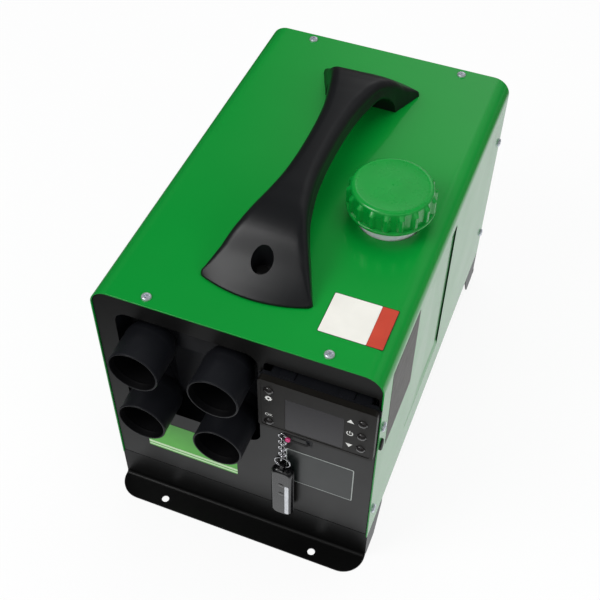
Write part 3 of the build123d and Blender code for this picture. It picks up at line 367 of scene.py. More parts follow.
def arc(centre: Sequence[float], radius: float, start: float, end: float, steps: int) -> Points:
    """Points on a circle: centre + radius (cos a, sin a), for a from start to end in degrees."""
    return polar(radius, np.radians(np.linspace(start, end, steps + 1))) + centre


def circle(centre: Sequence[float], radius: float, steps: int) -> Points:
    """A closed circle without its repeated last point."""
    return arc(centre, radius, 0, 360, steps)[:-1]


def rounded(x0: float, x1: float, y0: float, y1: float, radius: float, steps: int = 8) -> Points:
    """A rectangle between two corners with an arc at each corner, counter-clockwise."""
    r = radius
    return np.vstack([
        arc((x1 - r, y0 + r), r, -90, 0, steps), arc((x1 - r, y1 - r), r, 0, 90, steps),
        arc((x0 + r, y1 - r), r, 90, 180, steps), arc((x0 + r, y0 + r), r, 180, 270, steps)])


def matched_square(count: int) -> Points:
    """Points round the square from -1 to 1, evenly, with a number of steps on each side."""
    side = np.linspace(-1, 1, count + 1)[:-1]
    return np.vstack([points(side, -1), points(1, side), points(-side, 1), points(-1, -side)])


def matched_rounded(half_x: float, half_y: float, radius: float, count: int) -> Points:
    """A rounded rectangle whose points pair with matched_square, two steps to each half corner."""
    sides = []
    for turn in range(4):
        along, across = (half_y, half_x) if turn % 2 else (half_x, half_y)
        corner = along - radius, radius - across
        side = np.vstack([arc((-corner[0], corner[1]), radius, 225, 270, 2),
                          points(np.linspace(-corner[0], corner[0], count - 3)[1:-1], -across),
                          arc(corner, radius, 270, 315, 2)])[:-1]
        angle = turn * math.pi / 2
        spin = np.array([[math.cos(angle), math.sin(angle)],
                         [-math.sin(angle), math.cos(angle)]])
        sides.append(side @ spin)
    return np.vstack(sides)


def smooth_step(value: Points) -> Points:
    """A step from 0 to 1 that starts and ends level, over the values from 0 to 1."""
    value = np.clip(value, 0, 1)
    return value * value * (3 - 2 * value)


def soft_switch(value: Points) -> Points:
    """0 well below zero and 1 well above it: 1 / (1 + e^-value)."""
    return 1 / (1 + np.exp(-value))


def smooth_curve(place: Points, at: Points, values: Points) -> Points:
    """A smooth curve through stations.

    Its pieces are cubics whose slope at a station is the mean of the slopes on its two sides.
    """
    slope = np.diff(values) / np.diff(at)
    mean = np.concatenate([[slope[0]], (slope[:-1] + slope[1:]) / 2, [0.0]])
    k = np.clip(np.searchsorted(at, place) - 1, 0, len(at) - 2)
    step = at[k + 1] - at[k]
    t = np.clip((place - at[k]) / step, 0, 1)
    return ((2 * t ** 3 - 3 * t ** 2 + 1) * values[k] + (t ** 3 - 2 * t ** 2 + t) * step * mean[k]
            + (3 * t ** 2 - 2 * t ** 3) * values[k + 1] + (t ** 3 - t ** 2) * step * mean[k + 1])


# ---- Meshes -------------------------------------------------------------------------------------


class Facing(Enum):
    """Which way a flat plate faces: where x, y and z come from in (across, up, depth)."""

    FRONT = (0, 2, 1)
    SIDE = (2, 0, 1)
    TOP = (0, 1, 2)

    def points(self, flat: Points, depth: Any) -> Points:
        """Flat points at a depth along the plate's axis, as (x, y, z)."""
        return points(*flat.T, depth)[:, list(self.value)]


class Form:
    """Points and faces in millimetres, gathered from grids, loops and plates."""

    def __init__(self) -> None:
        """Starts empty."""
        self.points: list[Points] = []
        self.faces: list[tuple[int, ...]] = []
        self.finishes: list[int] = []
        self.count = 0

    def add(self, added: Points, faces: Iterable[Sequence[int]], finish: int = 0) -> Form:
        """Adds points and the faces between them."""
        faces = [tuple(int(k) + self.count for k in face) for face in faces]
        self.points.append(added)
        self.faces += faces
        self.finishes += [finish] * len(faces)
        self.count += len(added)
        return self

    def grid(self, sheet: Points, wrap: bool = False, finish: int = 0,
             keep: Points | None = None) -> Form:
        """Adds a sheet of points (rows, columns, 3) as quads.

        Args:
            sheet: The points.
            wrap: Whether the last column joins the first.
            finish: The number of the finish.
            keep: A mask of the quads to make, all where it is None.
        """
        rows, cols = sheet.shape[:2]
        index = np.arange(rows * cols).reshape(rows, cols)
        if wrap:
            index = np.hstack([index, index[:, :1]])
        quads = np.stack([index[:-1, :-1], index[1:, :-1], index[1:, 1:], index[:-1, 1:]], -1)
        chosen = quads.reshape(-1, 4) if keep is None else quads[keep]
        return self.add(sheet.reshape(-1, 3), chosen, finish)

    def lid(self, loop: Points, finish: int = 0) -> Form:
        """Adds one face that closes a flat loop."""
        return self.add(loop, [range(len(loop))], finish)

    def tube(self, loops: Points, finish: int = 0) -> Form:
        """Adds a skin through closed loops (rows, columns, 3), with a lid at each end."""
        self.grid(loops, True, finish)
        self.lid(loops[0][::-1], finish)
        return self.lid(loops[-1], finish)

    def plate(self, outline: Points, low: float, high: float, holes: Sequence[Points] = (),
              facing: Facing = Facing.FRONT, finish: int = 0) -> Form:
        """Adds a flat plate with holes.

        Args:
            outline: Its outline, flat.
            low: Where its one face lies along its axis.
            high: Where its other face lies.
            holes: Outlines of its holes.
            facing: The way the plate faces.
            finish: The number of the finish.
        """
        loops = [outline, *holes]
        triangles = tessellate_polygon([[Vector((*p, 0)) for p in loop] for loop in loops])
        flat = np.vstack(loops)
        self.add(facing.points(flat, low), triangles, finish)
        self.add(facing.points(flat, high), [t[::-1] for t in triangles], finish)
        for loop in loops:
            walls = np.stack([facing.points(loop, low), facing.points(loop, high)])
            self.grid(walls, True, finish)
        return self

    def turned(self, profile: Any, centre: Sequence[float], steps: int, axis: int = 2,
               finish: int = 0) -> Form:
        """Adds a surface of revolution.

        A profile point (r, h) goes to centre + r (cos a, sin a) across the axis + h along it, for
        every angle a. A radius of 0 closes to a pole when doubles are merged.
        """
        radius, height = np.array(profile, float).T[:, :, None]
        sheet = np.roll(polar(radius, round_angles(steps), height), axis + 1, -1)
        return self.grid(sheet + centre, True, finish)

    def swept(self, path: Points, radius: float, steps: int = 12, closed: bool = False) -> Form:
        """Adds a round tube of one radius along a path of points.

        At each point the tangent is the difference of its neighbours, and the circle lies across
        it on two axes square to it, one of them as near as it can be to a fixed side.
        """
        if closed:
            tangent = np.roll(path, -1, 0) - np.roll(path, 1, 0)
        else:
            tangent = np.gradient(path, axis=0)
        tangent /= np.linalg.norm(tangent, axis=1, keepdims=True)
        first = np.cross(tangent, np.eye(3)[int(np.argmin(np.ptp(path, axis=0)))])
        first /= np.linalg.norm(first, axis=1, keepdims=True)
        second = np.cross(tangent, first)
        angle = round_angles(steps)[:, None]
        loops = path[:, None] + radius * (first[:, None] * np.cos(angle)
                                          + second[:, None] * np.sin(angle))
        if closed:
            return self.grid(np.concatenate([loops, loops[:1]]), True)
        return self.tube(loops)

    def mirrored(self, back: bool) -> Form:
        """Mirrors the form to the heater's back, if it belongs there."""
        if back:
            self.points = [part * (1, -1, 1) for part in self.points]
        return self

    def mesh(self, name: str) -> bpy.types.Mesh:
        """The form as a mesh in metres."""
        mesh = bpy.data.meshes.new(name)
        mesh.from_pydata((np.vstack(self.points) * MM).tolist(), [], self.faces)
        mesh.polygons.foreach_set("material_index", np.array(self.finishes, np.int32))
        return mesh

    def piece(self, name: str, slot: str, *finishes: Finish, **options: Any) -> bpy.types.Object:
        """The form as a piece; arguments as in dress."""
        return dress(self.mesh(name), name, slot, *finishes, **options)


def clean(mesh: bpy.types.Mesh, turn: bool = True) -> None:
    """Merges doubled points, drops empty faces and turns the faces of a closed form outwards."""
    merged, empty = 0.004 * MM, 0.002 * MM
    work = bmesh.new()
    work.from_mesh(mesh)
    bmesh.ops.remove_doubles(work, verts=work.verts, dist=merged)
    bmesh.ops.dissolve_degenerate(work, edges=work.edges, dist=empty)
    if turn:
        bmesh.ops.recalc_face_normals(work, faces=work.faces)
        if work.calc_volume(signed=True) < 0:
            bmesh.ops.reverse_faces(work, faces=work.faces)
    work.to_mesh(mesh)
    work.free()


def add_object(name: str, data: Any) -> bpy.types.Object:
    """A new object in the scene."""
    thing = bpy.data.objects.new(name, data)
    bpy.context.scene.collection.objects.link(thing)
    return thing


def soften(piece: bpy.types.Object, width: float, sharp: float, segments: int = 2) -> Any:
    """Gives a piece rounded edges of a width in millimetres, and returns their modifier."""
    edge = piece.modifiers.new("edges", "BEVEL")
    edge.width = width * MM
    edge.segments = segments
    edge.angle_limit = math.radians(sharp)
    return edge


def dress(mesh: bpy.types.Mesh, name: str, slot: str, *finishes: Finish, body: str = "case",
          node: str | None = None, bevel: float = 0.0, sharp: float = 35.0, wall: float = 0.0,
          turn: bool = True) -> bpy.types.Object:
    """Cleans a mesh, makes its object and ties that to its body.

    Args:
        mesh: The mesh in metres.
        name: The piece's name.
        slot: The record's material slot; not used.
        *finishes: Its finishes, by number.
        body: The CAD body that it rides on.
        node: The CAD node that it stands for.
        bevel: Width of the rounded edges, in millimetres.
        sharp: Edges steeper than this many degrees stay sharp, or get the bevel.
        wall: Thickness that an open sheet gets, in millimetres.
        turn: Whether normals are worked out again, for a closed form.

    Returns:
        The new object.
    """
    clean(mesh, turn)
    mesh.polygons.foreach_set("use_smooth", np.ones(len(mesh.polygons), bool))
    mesh.set_sharp_from_angle(angle=math.radians(sharp))
    for finish in finishes:
        mesh.materials.append(finish.material())
    piece = add_object(name, mesh)
    if wall:
        solid = piece.modifiers.new("wall", "SOLIDIFY")
        solid.thickness = wall * MM
        solid.offset = -1.0
    if bevel:
        soften(piece, bevel, sharp).harden_normals = True
    piece.modifiers.new("shading", "WEIGHTED_NORMAL").keep_sharp = True
    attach(piece, body)
    if node:
        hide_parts(node)
    LOG.info("%s: %d faces on %s", name, len(mesh.polygons), body)
    return piece


def copy_node(node: str, name: str, finish: Finish, slot: str, bevel: float,
              sharp: float) -> None:
    """Makes a piece with a CAD node's own shape, merged and with soft edges.

    Args:
        node: The CAD node, which the piece stands for.
        name: The new piece's name.
        finish: Its finish.
        slot: The record's material slot.
        bevel: Width of the soft edges, in millimetres.
        sharp: Edges steeper than this many degrees are softened.
    """
    merged, flat = 0.002 * MM, math.radians(0.8)
    source = bpy.data.objects[node]
    work = bmesh.new()
    work.from_mesh(source.data)
    bmesh.ops.remove_doubles(work, verts=work.verts, dist=merged)
    bmesh.ops.dissolve_limit(work, angle_limit=flat, verts=work.verts, edges=work.edges)
    mesh = bpy.data.meshes.new(name)
    work.to_mesh(mesh)
    work.free()
    dress(mesh, name, slot, finish, body=source["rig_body"], node=node, bevel=bevel, sharp=sharp)


# ---- The heater ---------------------------------------------------------------------------------


@dataclass
class Case:
    """The folded cover, the two end panels, the hatch and the feet."""

    low: float = 38.0
    bend: float = 17.0
    gauge: float = 1.2
    neck_hole: float = 28.6
    hatch_edges: tuple[float, float, float, float] = (-97.0, 14.0, 80.0, 252.0)
    hatch_corner: float = 5.0
    panel_inset: float = 1.0
    panel_low: float = 42.5
    sheet_gap: float = 0.3
    foot_gauge: float = 1.5

    def cover(self) -> None:
        """The green cover, one sheet over both sides and the top.

        The sheet is a grid: its rows follow the U-shaped section (up the left wall, round a
        bend, over the top, round a bend and down the right wall) and its columns run along Y. Two
        blocks of the grid give way to a ring of quads round the neck's hole and the hatch's hole.
        """
        count, bend_steps, before_x, before_y = 16, 14, 10, 6
        edge, flat = TOP - self.bend, HALF - self.bend
        block_x, block_z, block_y = 33.0, 70.0, (FRONT + 90.0, FRONT + 215.0)
        columns = run(FRONT, (before_y, block_y[0]), (count, block_y[1]), (12, -FRONT))
        wall = run(self.low, (3, block_z), (count, edge))
        crown = run(-flat, (before_x, block_x), (count, flat))
        section = np.vstack([
            points(-HALF, wall)[:-1], arc((-flat, edge), self.bend, 180, 90, bend_steps)[:-1],
            points(crown, TOP)[:-1], arc((flat, edge), self.bend, 90, 0, bend_steps)[:-1],
            points(HALF, wall[::-1])])
        keep = np.ones((len(section) - 1, len(columns) - 1), bool)
        for row in (len(wall) - 1 + bend_steps + before_x, len(section) - len(wall)):
            keep[row:row + count, before_y:before_y + count] = False
        form = Form().grid(points(section[:, :1], columns, section[:, 1:]), keep=keep)
        across, along = matched_square(count).T
        y = sum(block_y) / 2 + (block_y[1] - block_y[0]) / 2 * along
        # Round the neck: the block's rows run along +X
        x = (block_x + flat) / 2 + (flat - block_x) / 2 * across
        hole = polar(self.neck_hole, np.arctan2(along, across), TOP) + (*NECK, 0)
        form.grid(np.stack([hole, points(x, y, TOP)]), True)
        # Round the hatch: the block's rows run down -Z
        z = (block_z + edge) / 2 - (edge - block_z) / 2 * across
        y0, y1, z0, z1 = self.hatch_edges
        down, aside = matched_rounded((z1 - z0) / 2, (y1 - y0) / 2, self.hatch_corner, count).T
        hole = points(HALF, (y1 + y0) / 2 + aside, (z0 + z1) / 2 - down)
        form.grid(np.stack([hole, points(HALF, y, z)]), True)
        form.piece("cover", "cover_green", Look.ENAMEL, node="shell", bevel=0.3,
                   wall=self.gauge, turn=False)

    def hatch(self) -> None:
        """The hatch: a plate in the cover's hole, flush in front and sunk along its rear edge.

        Its face lies flush + sink r(y) r(low) r(high) behind the cover, where each r is a smooth
        step from 0 at an edge to 1 a ramp further in, so only the rear edge shows a step. A dark
        strip in that step is painted shadow, and the back is the flat rim behind the hole.
        """
        flush, sink, gap, overlap, back = 0.12, 1.7, 0.06, 7.0, HALF - 2.25
        y_ramp, z_ramp = 90.0, 14.0
        y0, y1, z0, z1 = self.hatch_edges
        y = run(y0 + gap, (39, 0.0), (7, y1 - gap))
        z = run(z0 + gap, (15, 100.0), (23, 232.0), (15, z1 - gap))
        upward = smooth_step((z - z0) / z_ramp) * smooth_step((z1 - z) / z_ramp)
        depth = flush + sink * smooth_step((y - y0) / y_ramp)[:, None] * upward
        face = points(HALF - depth, y[:, None], z)
        form = Form().grid(face).grid(points(back, y[:, None], z))
        for edge in (face[0], face[-1], face[:, 0], face[:, -1]):
            form.grid(np.stack([edge, edge * (0, 1, 1) + (back, 0, 0)]))
        rim = rounded(y0 - overlap, y1 + overlap, z0 - overlap, z1 + overlap, 8.0)
        form.plate(rim, back, HALF - 1.3, facing=Facing.SIDE)
        # A dark strip in the rear step: painted shadow
        near, far, low, high = y1 - 0.6, y1 - 0.05, z[4], z[-5]
        strip = np.array([(far, low), (far, high), (near, high), (near, low)])
        form.plate(strip, HALF - 2.0, HALF - 0.02, facing=Facing.SIDE, finish=1)
        form.piece("hatch", "cover_green", Look.ENAMEL, Look.SHADOW_GAP, node="service_hatch")

    def arch(self, inset: float) -> Points:
        """The end panels' outline as (X, Z): upright sides and two bends at the top."""
        inset += self.gauge + self.sheet_gap
        half, top, radius = HALF - inset, TOP - inset, self.bend - inset
        return np.vstack([
            [(-half, self.panel_low), (half, self.panel_low)],
            arc((half - radius, top - radius), radius, 0, 90, 12),
            arc((-half + radius, top - radius), radius, 90, 180, 12)])

    def outlet_window(self) -> Points:
        """The outlets' window: rounded above, and below it dips round the two lower outlets.

        The lower edge is the lower of the straight edge and the two circles, each a height over
        x; an arc takes its place at either corner.
        """
        x0, x1, z0, z1, corner, reach = -105.0, 21.0, 135.5, 257.5, 12.0, 23.5
        x = x0 + (x1 - x0) * (1 - np.cos(np.linspace(0, math.pi, 97))) / 2
        low = np.full(len(x), z0)
        for centre in SPOUT_X:
            dip = SPOUT_Z[1] - np.sqrt(np.maximum(reach ** 2 - (x - centre) ** 2, 0))
            low = np.where(np.abs(x - centre) < reach, np.minimum(low, dip), low)
        edge = np.minimum(x - x0, x1 - x)
        rise = corner - np.sqrt(np.maximum(corner ** 2 - np.maximum(corner - edge, 0) ** 2, 0))
        low = np.where(edge < corner, z0 + rise, low)
        return np.vstack([points(x, low), arc((x1 - corner, z1 - corner), corner, 0, 90, 8),
                          arc((x0 + corner, z1 - corner), corner, 90, 180, 8)])

    def inlet_slots(self) -> list[Points]:
        """The rear panel's air-inlet slots, in rows that make a diamond."""
        slots = []
        middle_x, middle_z, pitch_x, pitch_z, half_x, half_z = -46.0, 162.0, 32.0, 10.0, 13.0, 2.5
        for row in range(-4, 5):
            columns = 1 if abs(row) == 4 else 2 if abs(row) % 2 else 3
            for column in range(columns):
                x = middle_x + (column - (columns - 1) / 2) * pitch_x
                z = middle_z + row * pitch_z
                slots.append(rounded(x - half_x, x + half_x, z - half_z, z + half_z, 2.49, 6))
        return slots

    def end_panel(self, back: bool, holes: Sequence[Points]) -> None:
        """One end panel: its plate with holes and the flange folded back round it."""
        name = "rear_panel" if back else "front_panel"
        face, flange = FRONT + self.panel_inset, 18.0
        form = Form().plate(self.arch(0.5), face, face + self.gauge, holes)
        rows = [(0.5, 0.02), (0.12, 0.25), (0.0, 0.7), (0.0, flange), (self.gauge, flange),
                (self.gauge, self.gauge)]
        loops = [Facing.FRONT.points(np.roll(self.arch(inset), -1, 0), face + depth)
                 for inset, depth in rows]
        form.grid(np.array(loops + loops[:1]).transpose(1, 0, 2)).mirrored(back)
        form.piece(f"{name}_sheet", "panel_black", Look.BLACK_COAT, node=name, bevel=0.2)

    def foot(self, back: bool) -> None:
        """One bent foot: floor flange, upright wall, side ears and the lip under the tray.

        The wall and its bend are one section carried along X; the section runs down the wall's
        face, round the inner bend to the flange, and back along the underside.
        """
        name = "rear_foot" if back else "front_foot"
        gauge, inner, corner, wall_top, lip_z = self.foot_gauge, 3.0, 21.0, 42.0, 26.5
        face, edge, outer = FRONT + 0.8, FRONT - 23.0, inner + gauge
        joint = face - inner
        flange = np.vstack([
            [(-HALF, joint + 0.4)], arc((corner - HALF, edge + corner), corner, 180, 270, 14),
            arc((HALF - corner, edge + corner), corner, 270, 360, 14), [(HALF, joint + 0.4)]])
        hole_x, hole_y, hole_radius = 76.4, -208.0, 3.6
        holes = [circle((x, hole_y), hole_radius, 32) for x in (-hole_x, hole_x)]
        form = Form().plate(flange, 0.0, gauge, holes, Facing.TOP)
        bend = np.vstack([
            arc((joint, outer), inner, -90, 0, 8), [(face, wall_top), (face + gauge, wall_top)],
            arc((joint, outer), outer, 0, -90, 8)])
        form.tube(points(np.linspace(0.02 - HALF, HALF - 0.02, 25)[:, None], *bend.T))
        ear_top = self.low - 1.0
        ear = np.array([(0.6, 3.0), (3.5, 0), (26.0, 0), (44.0, ear_top - 7.0), (44.0, ear_top),
                        (0.6, ear_top)]) + (face, 0)
        for side in (HALF - gauge, -HALF):
            form.plate(ear, side, side + gauge, facing=Facing.SIDE)
        lip = rounded(-113.0, 113.0, face + gauge, face + gauge + 26.0, 2.0, 4)
        form.plate(lip, lip_z, lip_z + gauge, facing=Facing.TOP).mirrored(back)
        # The feet get the darker copy of the black coat: painted shade
        form.piece(f"{name}_sheet", "panel_black", Look.SHADED_BLACK_COAT, node=name, bevel=0.3)

    def build(self) -> None:
        """Makes every piece of the case."""
        self.cover()
        self.hatch()
        controller_window = rounded(26.0, 121.5, 181.5, 254.0, 3.5)
        self.end_panel(False, [self.outlet_window(), controller_window])
        gland_hole = circle((80.0, 74.0), 6.2, 32)
        self.end_panel(True, [gland_hole, *self.inlet_slots()])
        self.foot(False)
        self.foot(True)


@dataclass
class Fasteners:
    """The pan-head screws of the cover, and the bolts in the handle's bores."""

    head: float = 4.2
    rise: float = 2.5
    recess: float = 2.5
    recess_depth: float = 1.5
    slot: float = 0.55
    end_y: float = 185.0
    top_x: float = 77.0
    side_z: tuple[float, float] = (78.0, 208.0)

    def screw(self, form: Form, seat: Sequence[float], frame: Points, turn: float) -> None:
        """Adds one screw head.

        On a polar grid the height is a flat dome over r / R, less a cross: a soft dip where
        either coordinate is inside the slot's half width and r is inside the recess.

        Args:
            form: The form that it joins.
            seat: The middle of its seat.
            frame: Rows: two axes across the head and the axis it points along.
            turn: Its turn in degrees.
        """
        ratio = np.append(np.linspace(0.0, 0.96, 22), [1.0, 1.0])[:, None]
        radius, angle = ratio * self.head, round_angles(96)
        u, v = np.abs(radius * np.cos(angle)), np.abs(radius * np.sin(angle))
        dip = (soft_switch((self.slot - np.minimum(u, v)) * 14)
               * soft_switch((self.recess - np.maximum(u, v)) * 9))
        dome = 0.34 + 0.66 * np.sqrt(np.maximum(1 - ratio ** 2.6, 0))
        z = self.rise * dome - self.recess_depth * dip
        z[-1] = 0.0
        head = polar(radius, angle + math.radians(turn), z) @ frame + seat
        form.grid(head, True).lid(head[-1])

    def build(self) -> None:
        """Makes the twelve cover screws and the two handle bolts."""
        form = Form()
        turns = iter(range(10, 1000, 37))
        for y in (-self.end_y, self.end_y):
            for side in (-1, 1):
                self.screw(form, (side * self.top_x, y, TOP), np.eye(3), next(turns))
                out = np.array([[0, 1, 0], [0, 0, 1], [1, 0, 0]]) * [[side], [1], [side]]
                for z in self.side_z:
                    self.screw(form, (side * HALF, y, z), out, next(turns))
        form.piece("cover_screw_heads", "zinc", Look.ZINC, node="shell_screws", sharp=50)
        form = Form()
        for y in (-Grip.bore_y, Grip.bore_y):
            form.turned([(0, 5.0), (4.4, 5.0), (5.4, 4.4), (5.8, 3.2), (5.8, 0.0), (0, 0.0)],
                        (0, y, TOP + Grip.bore_floor), 48)
        # The zinc bolt heads down in the bores get the darker black coat: painted shade
        form.piece("handle_bolt_heads", "zinc", Look.SHADED_BLACK_COAT, node="handle_screws")


@dataclass
class Grip:
    """The moulded carrying handle."""

    end: float = 154.5
    shift: float = -3.5
    rise: float = 46.6
    waist: float = 13.0
    broad: float = 50.0
    draft: float = 3.0
    gap: float = 25.5
    foot: float = 110.0
    leg: float = 26.0
    bow: float = 11.0
    corner: float = 7.0
    shoulder: float = 10.0
    shoulder_share: float = 0.42
    camber: float = 1.2
    bore: float = 9.2
    bore_y: float = 131.5
    bore_floor: float = 5.0

    def section(self, y: Points) -> tuple[Points, Points, Points, Points]:
        """Height, half widths at the foot and crown, and the underside, over distance y.

        Each is a smooth curve through stations measured from the handle's end. The last few
        millimetres pull in by a quarter circle, which rounds the foot's corners. The underside is
        the finger arch: gap (1 - (1 - s)^2)^0.5, where s goes from 0 at a leg to 1 inside it.
        """
        place = self.end - np.abs(y)
        at = np.array([0.0, 10.0, 25.0, 44.0, 62.0, 85.0, 110.0, 154.5])
        height = np.array([0.058, 0.187, 0.412, 0.775, 0.945, 0.992, 1.0, 1.0])
        crown = np.array([1.0, 0.90, 0.765, 0.53, 0.32, 0.16, 0.05, 0.0])
        draft = np.array([0.1, 0.3, 0.5, 0.9, 1.4, 1.3, 1.2, 1.0])
        pull = self.corner * (1 - np.sqrt(1 - np.clip(1 - place / self.corner, 0, 1) ** 2))
        tall = smooth_curve(place, at, height) * self.rise
        high = self.waist + smooth_curve(place, at, crown) * (self.broad - self.waist) - pull
        low = high + smooth_curve(place, at, draft) * self.draft
        inside = np.clip((self.foot - np.abs(y)) / self.leg, 0, 1)
        return tall, low, high, self.gap * np.sqrt(1 - (1 - inside) ** 2)

    def loop(self, tall: float, low: float, high: float, under: float) -> Points:
        """One closed section as (x, z): straight sides, round shoulders and soft lower edges."""
        thick = tall - under
        shoulder = min(self.shoulder_share * thick, self.shoulder)
        lip = 0.3 + 5.0 * min(under / self.gap, 1.0) ** 3
        foot = low + (high - low) * under / tall
        corner = arc((high - shoulder, tall - shoulder), shoulder, 0, 90, 9)
        soft = arc((foot - lip, under + lip), lip, -90, 0, 4)
        side = np.linspace(soft[-1], corner[0], 11)[1:-1]
        crown = points(np.linspace(corner[-1, 0], -corner[-1, 0], 17)[1:-1], tall)
        camber = min(self.camber, 0.08 * tall)
        half = np.vstack([soft, side, corner])
        bottom = points(np.linspace(lip - foot, foot - lip, 13)[1:-1], under)
        section = np.vstack([half, crown, half[::-1] * (-1, 1), bottom])
        section[:, 1] -= camber * (section[:, 0] / low) ** 2 * (section[:, 1] - under) / thick
        return section

    def build(self) -> None:
        """Makes the handle and cuts its two screw bores.

        The sections stand along Y; towards the ends they bow outwards by bow (x / broad)^2, and
        a few smaller ones close each end to a soft nose.
        """
        legs = np.concatenate([np.linspace(0, 70, 32), np.linspace(72, 100, 22),
                               np.linspace(100.6, self.foot, 9),
                               np.linspace(self.foot + 0.8, self.end - 7.5, 28),
                               self.end - np.array([6, 4.6, 3.3, 2.2, 1.3, 0.6, 0.2])])
        y = np.concatenate([-legs[:0:-1], legs])
        loops = [Facing.FRONT.points(self.loop(*sizes), along)
                 for along, *sizes in zip(y, *self.section(y))]
        for end, way in ((0, -1), (-1, 1)):
            ring = loops[end].copy()
            middle = ring[:, 2].max() / 2
            radius = middle * 0.6
            loops[end][:, 1] -= way * radius
            for step in np.radians([15, 30, 45, 60, 74, 84]):
                part = ring.copy()
                part[:, 2] = middle + (ring[:, 2] - middle) * math.cos(step)
                part[:, 1] += way * radius * (math.sin(step) - 1)
                loops.insert(0 if end == 0 else len(loops), part)
        loops = np.array(loops)
        fade = np.clip((np.abs(loops[:, :, 1]) - self.foot) / (self.end - self.foot), 0, 1) ** 2
        share = np.clip(np.abs(loops[:, :, 0]) / self.broad, 0, 1) ** 2
        loops[:, :, 1] -= np.sign(loops[:, :, 1]) * self.bow * share * fade
        form = Form().tube(loops + (0, self.shift, TOP))
        self.cut_bores(form.piece("grip", "grip_black", Look.GRIP, node="handle", sharp=48))

    def cut_bores(self, piece: bpy.types.Object) -> None:
        """Cuts the two upright bores with a Boolean, and keeps its result as the mesh."""
        cut = Form()
        high, sharp = self.rise + 20, 40
        for y in (-self.bore_y, self.bore_y):
            cut.turned([(0, high), (self.bore, high), (self.bore, self.bore_floor),
                        (0, self.bore_floor)], (0, y, TOP), 64)
        mesh = cut.mesh("bores")
        clean(mesh)
        cutter = add_object("bores", mesh)
        piece.modifiers.clear()
        carve = piece.modifiers.new("bores", "BOOLEAN")
        carve.operation = "DIFFERENCE"
        carve.object = cutter
        carve.solver = "EXACT"
        graph = bpy.context.evaluated_depsgraph_get()
        carved = bpy.data.meshes.new_from_object(piece.evaluated_get(graph))
        piece.modifiers.clear()
        carved.set_sharp_from_angle(angle=math.radians(sharp))
        piece.data = carved
        bpy.data.objects.remove(cutter)
        soften(piece, 0.7, sharp, segments=3)


@dataclass
class FillerCap:
    """The ribbed cap on the tank's neck, and the tank itself."""

    low: float = 14.5
    top: float = 37.0
    skirt: float = 34.8
    rib: float = 3.1
    ribs: int = 18
    bore: float = 27.4
    ceiling: float = 32.4

    def build(self) -> None:
        """Makes the cap.

        The outer profile is (radius, height); between the lower band and the shoulder the radius
        grows by rib f(a), where f is a flat-topped wave with as many crests as ribs.
        """
        crown, low, top, skirt, edge = self.top - 5.2, self.low, self.top, self.skirt, 3.2
        radius, height = np.vstack([
            [(self.bore, low), (skirt + 2.4, low), (skirt + 3.0, low + 0.6),
             (skirt + 3.0, low + 2.2), (skirt + 2.3, low + 2.8)],
            points(skirt, np.linspace(low + 3.2, crown - 0.4, 14)),
            arc((skirt - edge, top - edge), edge, 8, 82, 8),
            [(31.2, top), (30.4, top), (29.8, top - 0.25), (20.0, top - 0.3), (10.0, top - 0.3),
             (1.2, top - 0.3), (0.9, top - 0.8), (0.0, top - 0.9)]]).T[:, :, None]
        angle = round_angles(self.ribs * 14)
        wave = soft_switch((np.cos(angle * self.ribs) - 0.4) * 8)
        lower = np.clip((height - low - 2.8) / 0.6, 0, 1)
        upper = np.clip((crown + 1.6 - height) / 1.4, 0, 1)
        radius = radius + self.rib * lower * upper * wave
        axis = (*NECK, TOP)
        form = Form().grid(polar(radius, angle, height) + axis, True)
        form.turned([(self.bore, low), (self.bore, self.ceiling), (0.0, self.ceiling)], axis,
                    len(angle))
        form.piece("ribbed_cap", "cap_green", Look.CAP, body="cap", node="filler_cap", sharp=60)
        copy_node("fuel_tank", "tank_body", Look.MILKY, "tank_white", 0.0, 40)


@dataclass
class Outlets:
    """The four warm-air spouts with their ball heels, and the plenum behind them."""

    radius: float = 22.5
    wall: float = 1.8
    mouth: float = -222.0
    heel: float = -192.0
    neck: float = 18.0
    neck_back: float = -153.8

    def profile(self) -> tuple[Points, Points]:
        """The outer and the inner profile as (radius, y)."""
        r, mouth = self.radius, self.mouth
        bore, throat = r - self.wall, self.neck - self.wall
        ball = math.degrees(math.asin(self.neck / r))
        outer = np.vstack([
            [(bore + 0.25, mouth + 0.1), (bore + 0.7, mouth), (r - 0.45, mouth),
             (r, mouth + 0.5), (r, mouth + 2.4), (r - 0.25, mouth + 3.0),
             (r - 0.25, self.heel - 2.0)],
            arc((self.heel, 0), r, 90, ball, 14)[:, ::-1], [(self.neck, self.neck_back)]])
        inner = np.array([
            (bore + 0.25, mouth + 0.1), (bore, mouth + 0.7), (bore, mouth + 5.0),
            (bore - 0.5, mouth + 5.5), (bore - 0.5, mouth + 7.0), (bore, mouth + 7.5),
            (bore, self.heel + 5.0), (throat, self.heel + 12.0), (throat, self.neck_back),
            (self.neck, self.neck_back)])
        return outer, inner

    def build(self) -> None:
        """Makes the spouts and dresses the plenum."""
        outer, inner = self.profile()
        for number, (x, z) in enumerate(((x, z) for z in SPOUT_Z for x in SPOUT_X), 1):
            form = Form().turned(outer, (x, 0, z), 96, axis=1)
            # The bore gets the darker duct finish: painted shade inside the spout
            form.turned(inner, (x, 0, z), 96, axis=1, finish=1)
            form.piece(f"spout_{number}", "duct_black", Look.DUCT, Look.DUCT_BORE_SHADE,
                       node=f"outlet_{number}", sharp=50)
        copy_node("air_plenum", "plenum_shell", Look.DUCT, "duct_black", 0.5, 20)


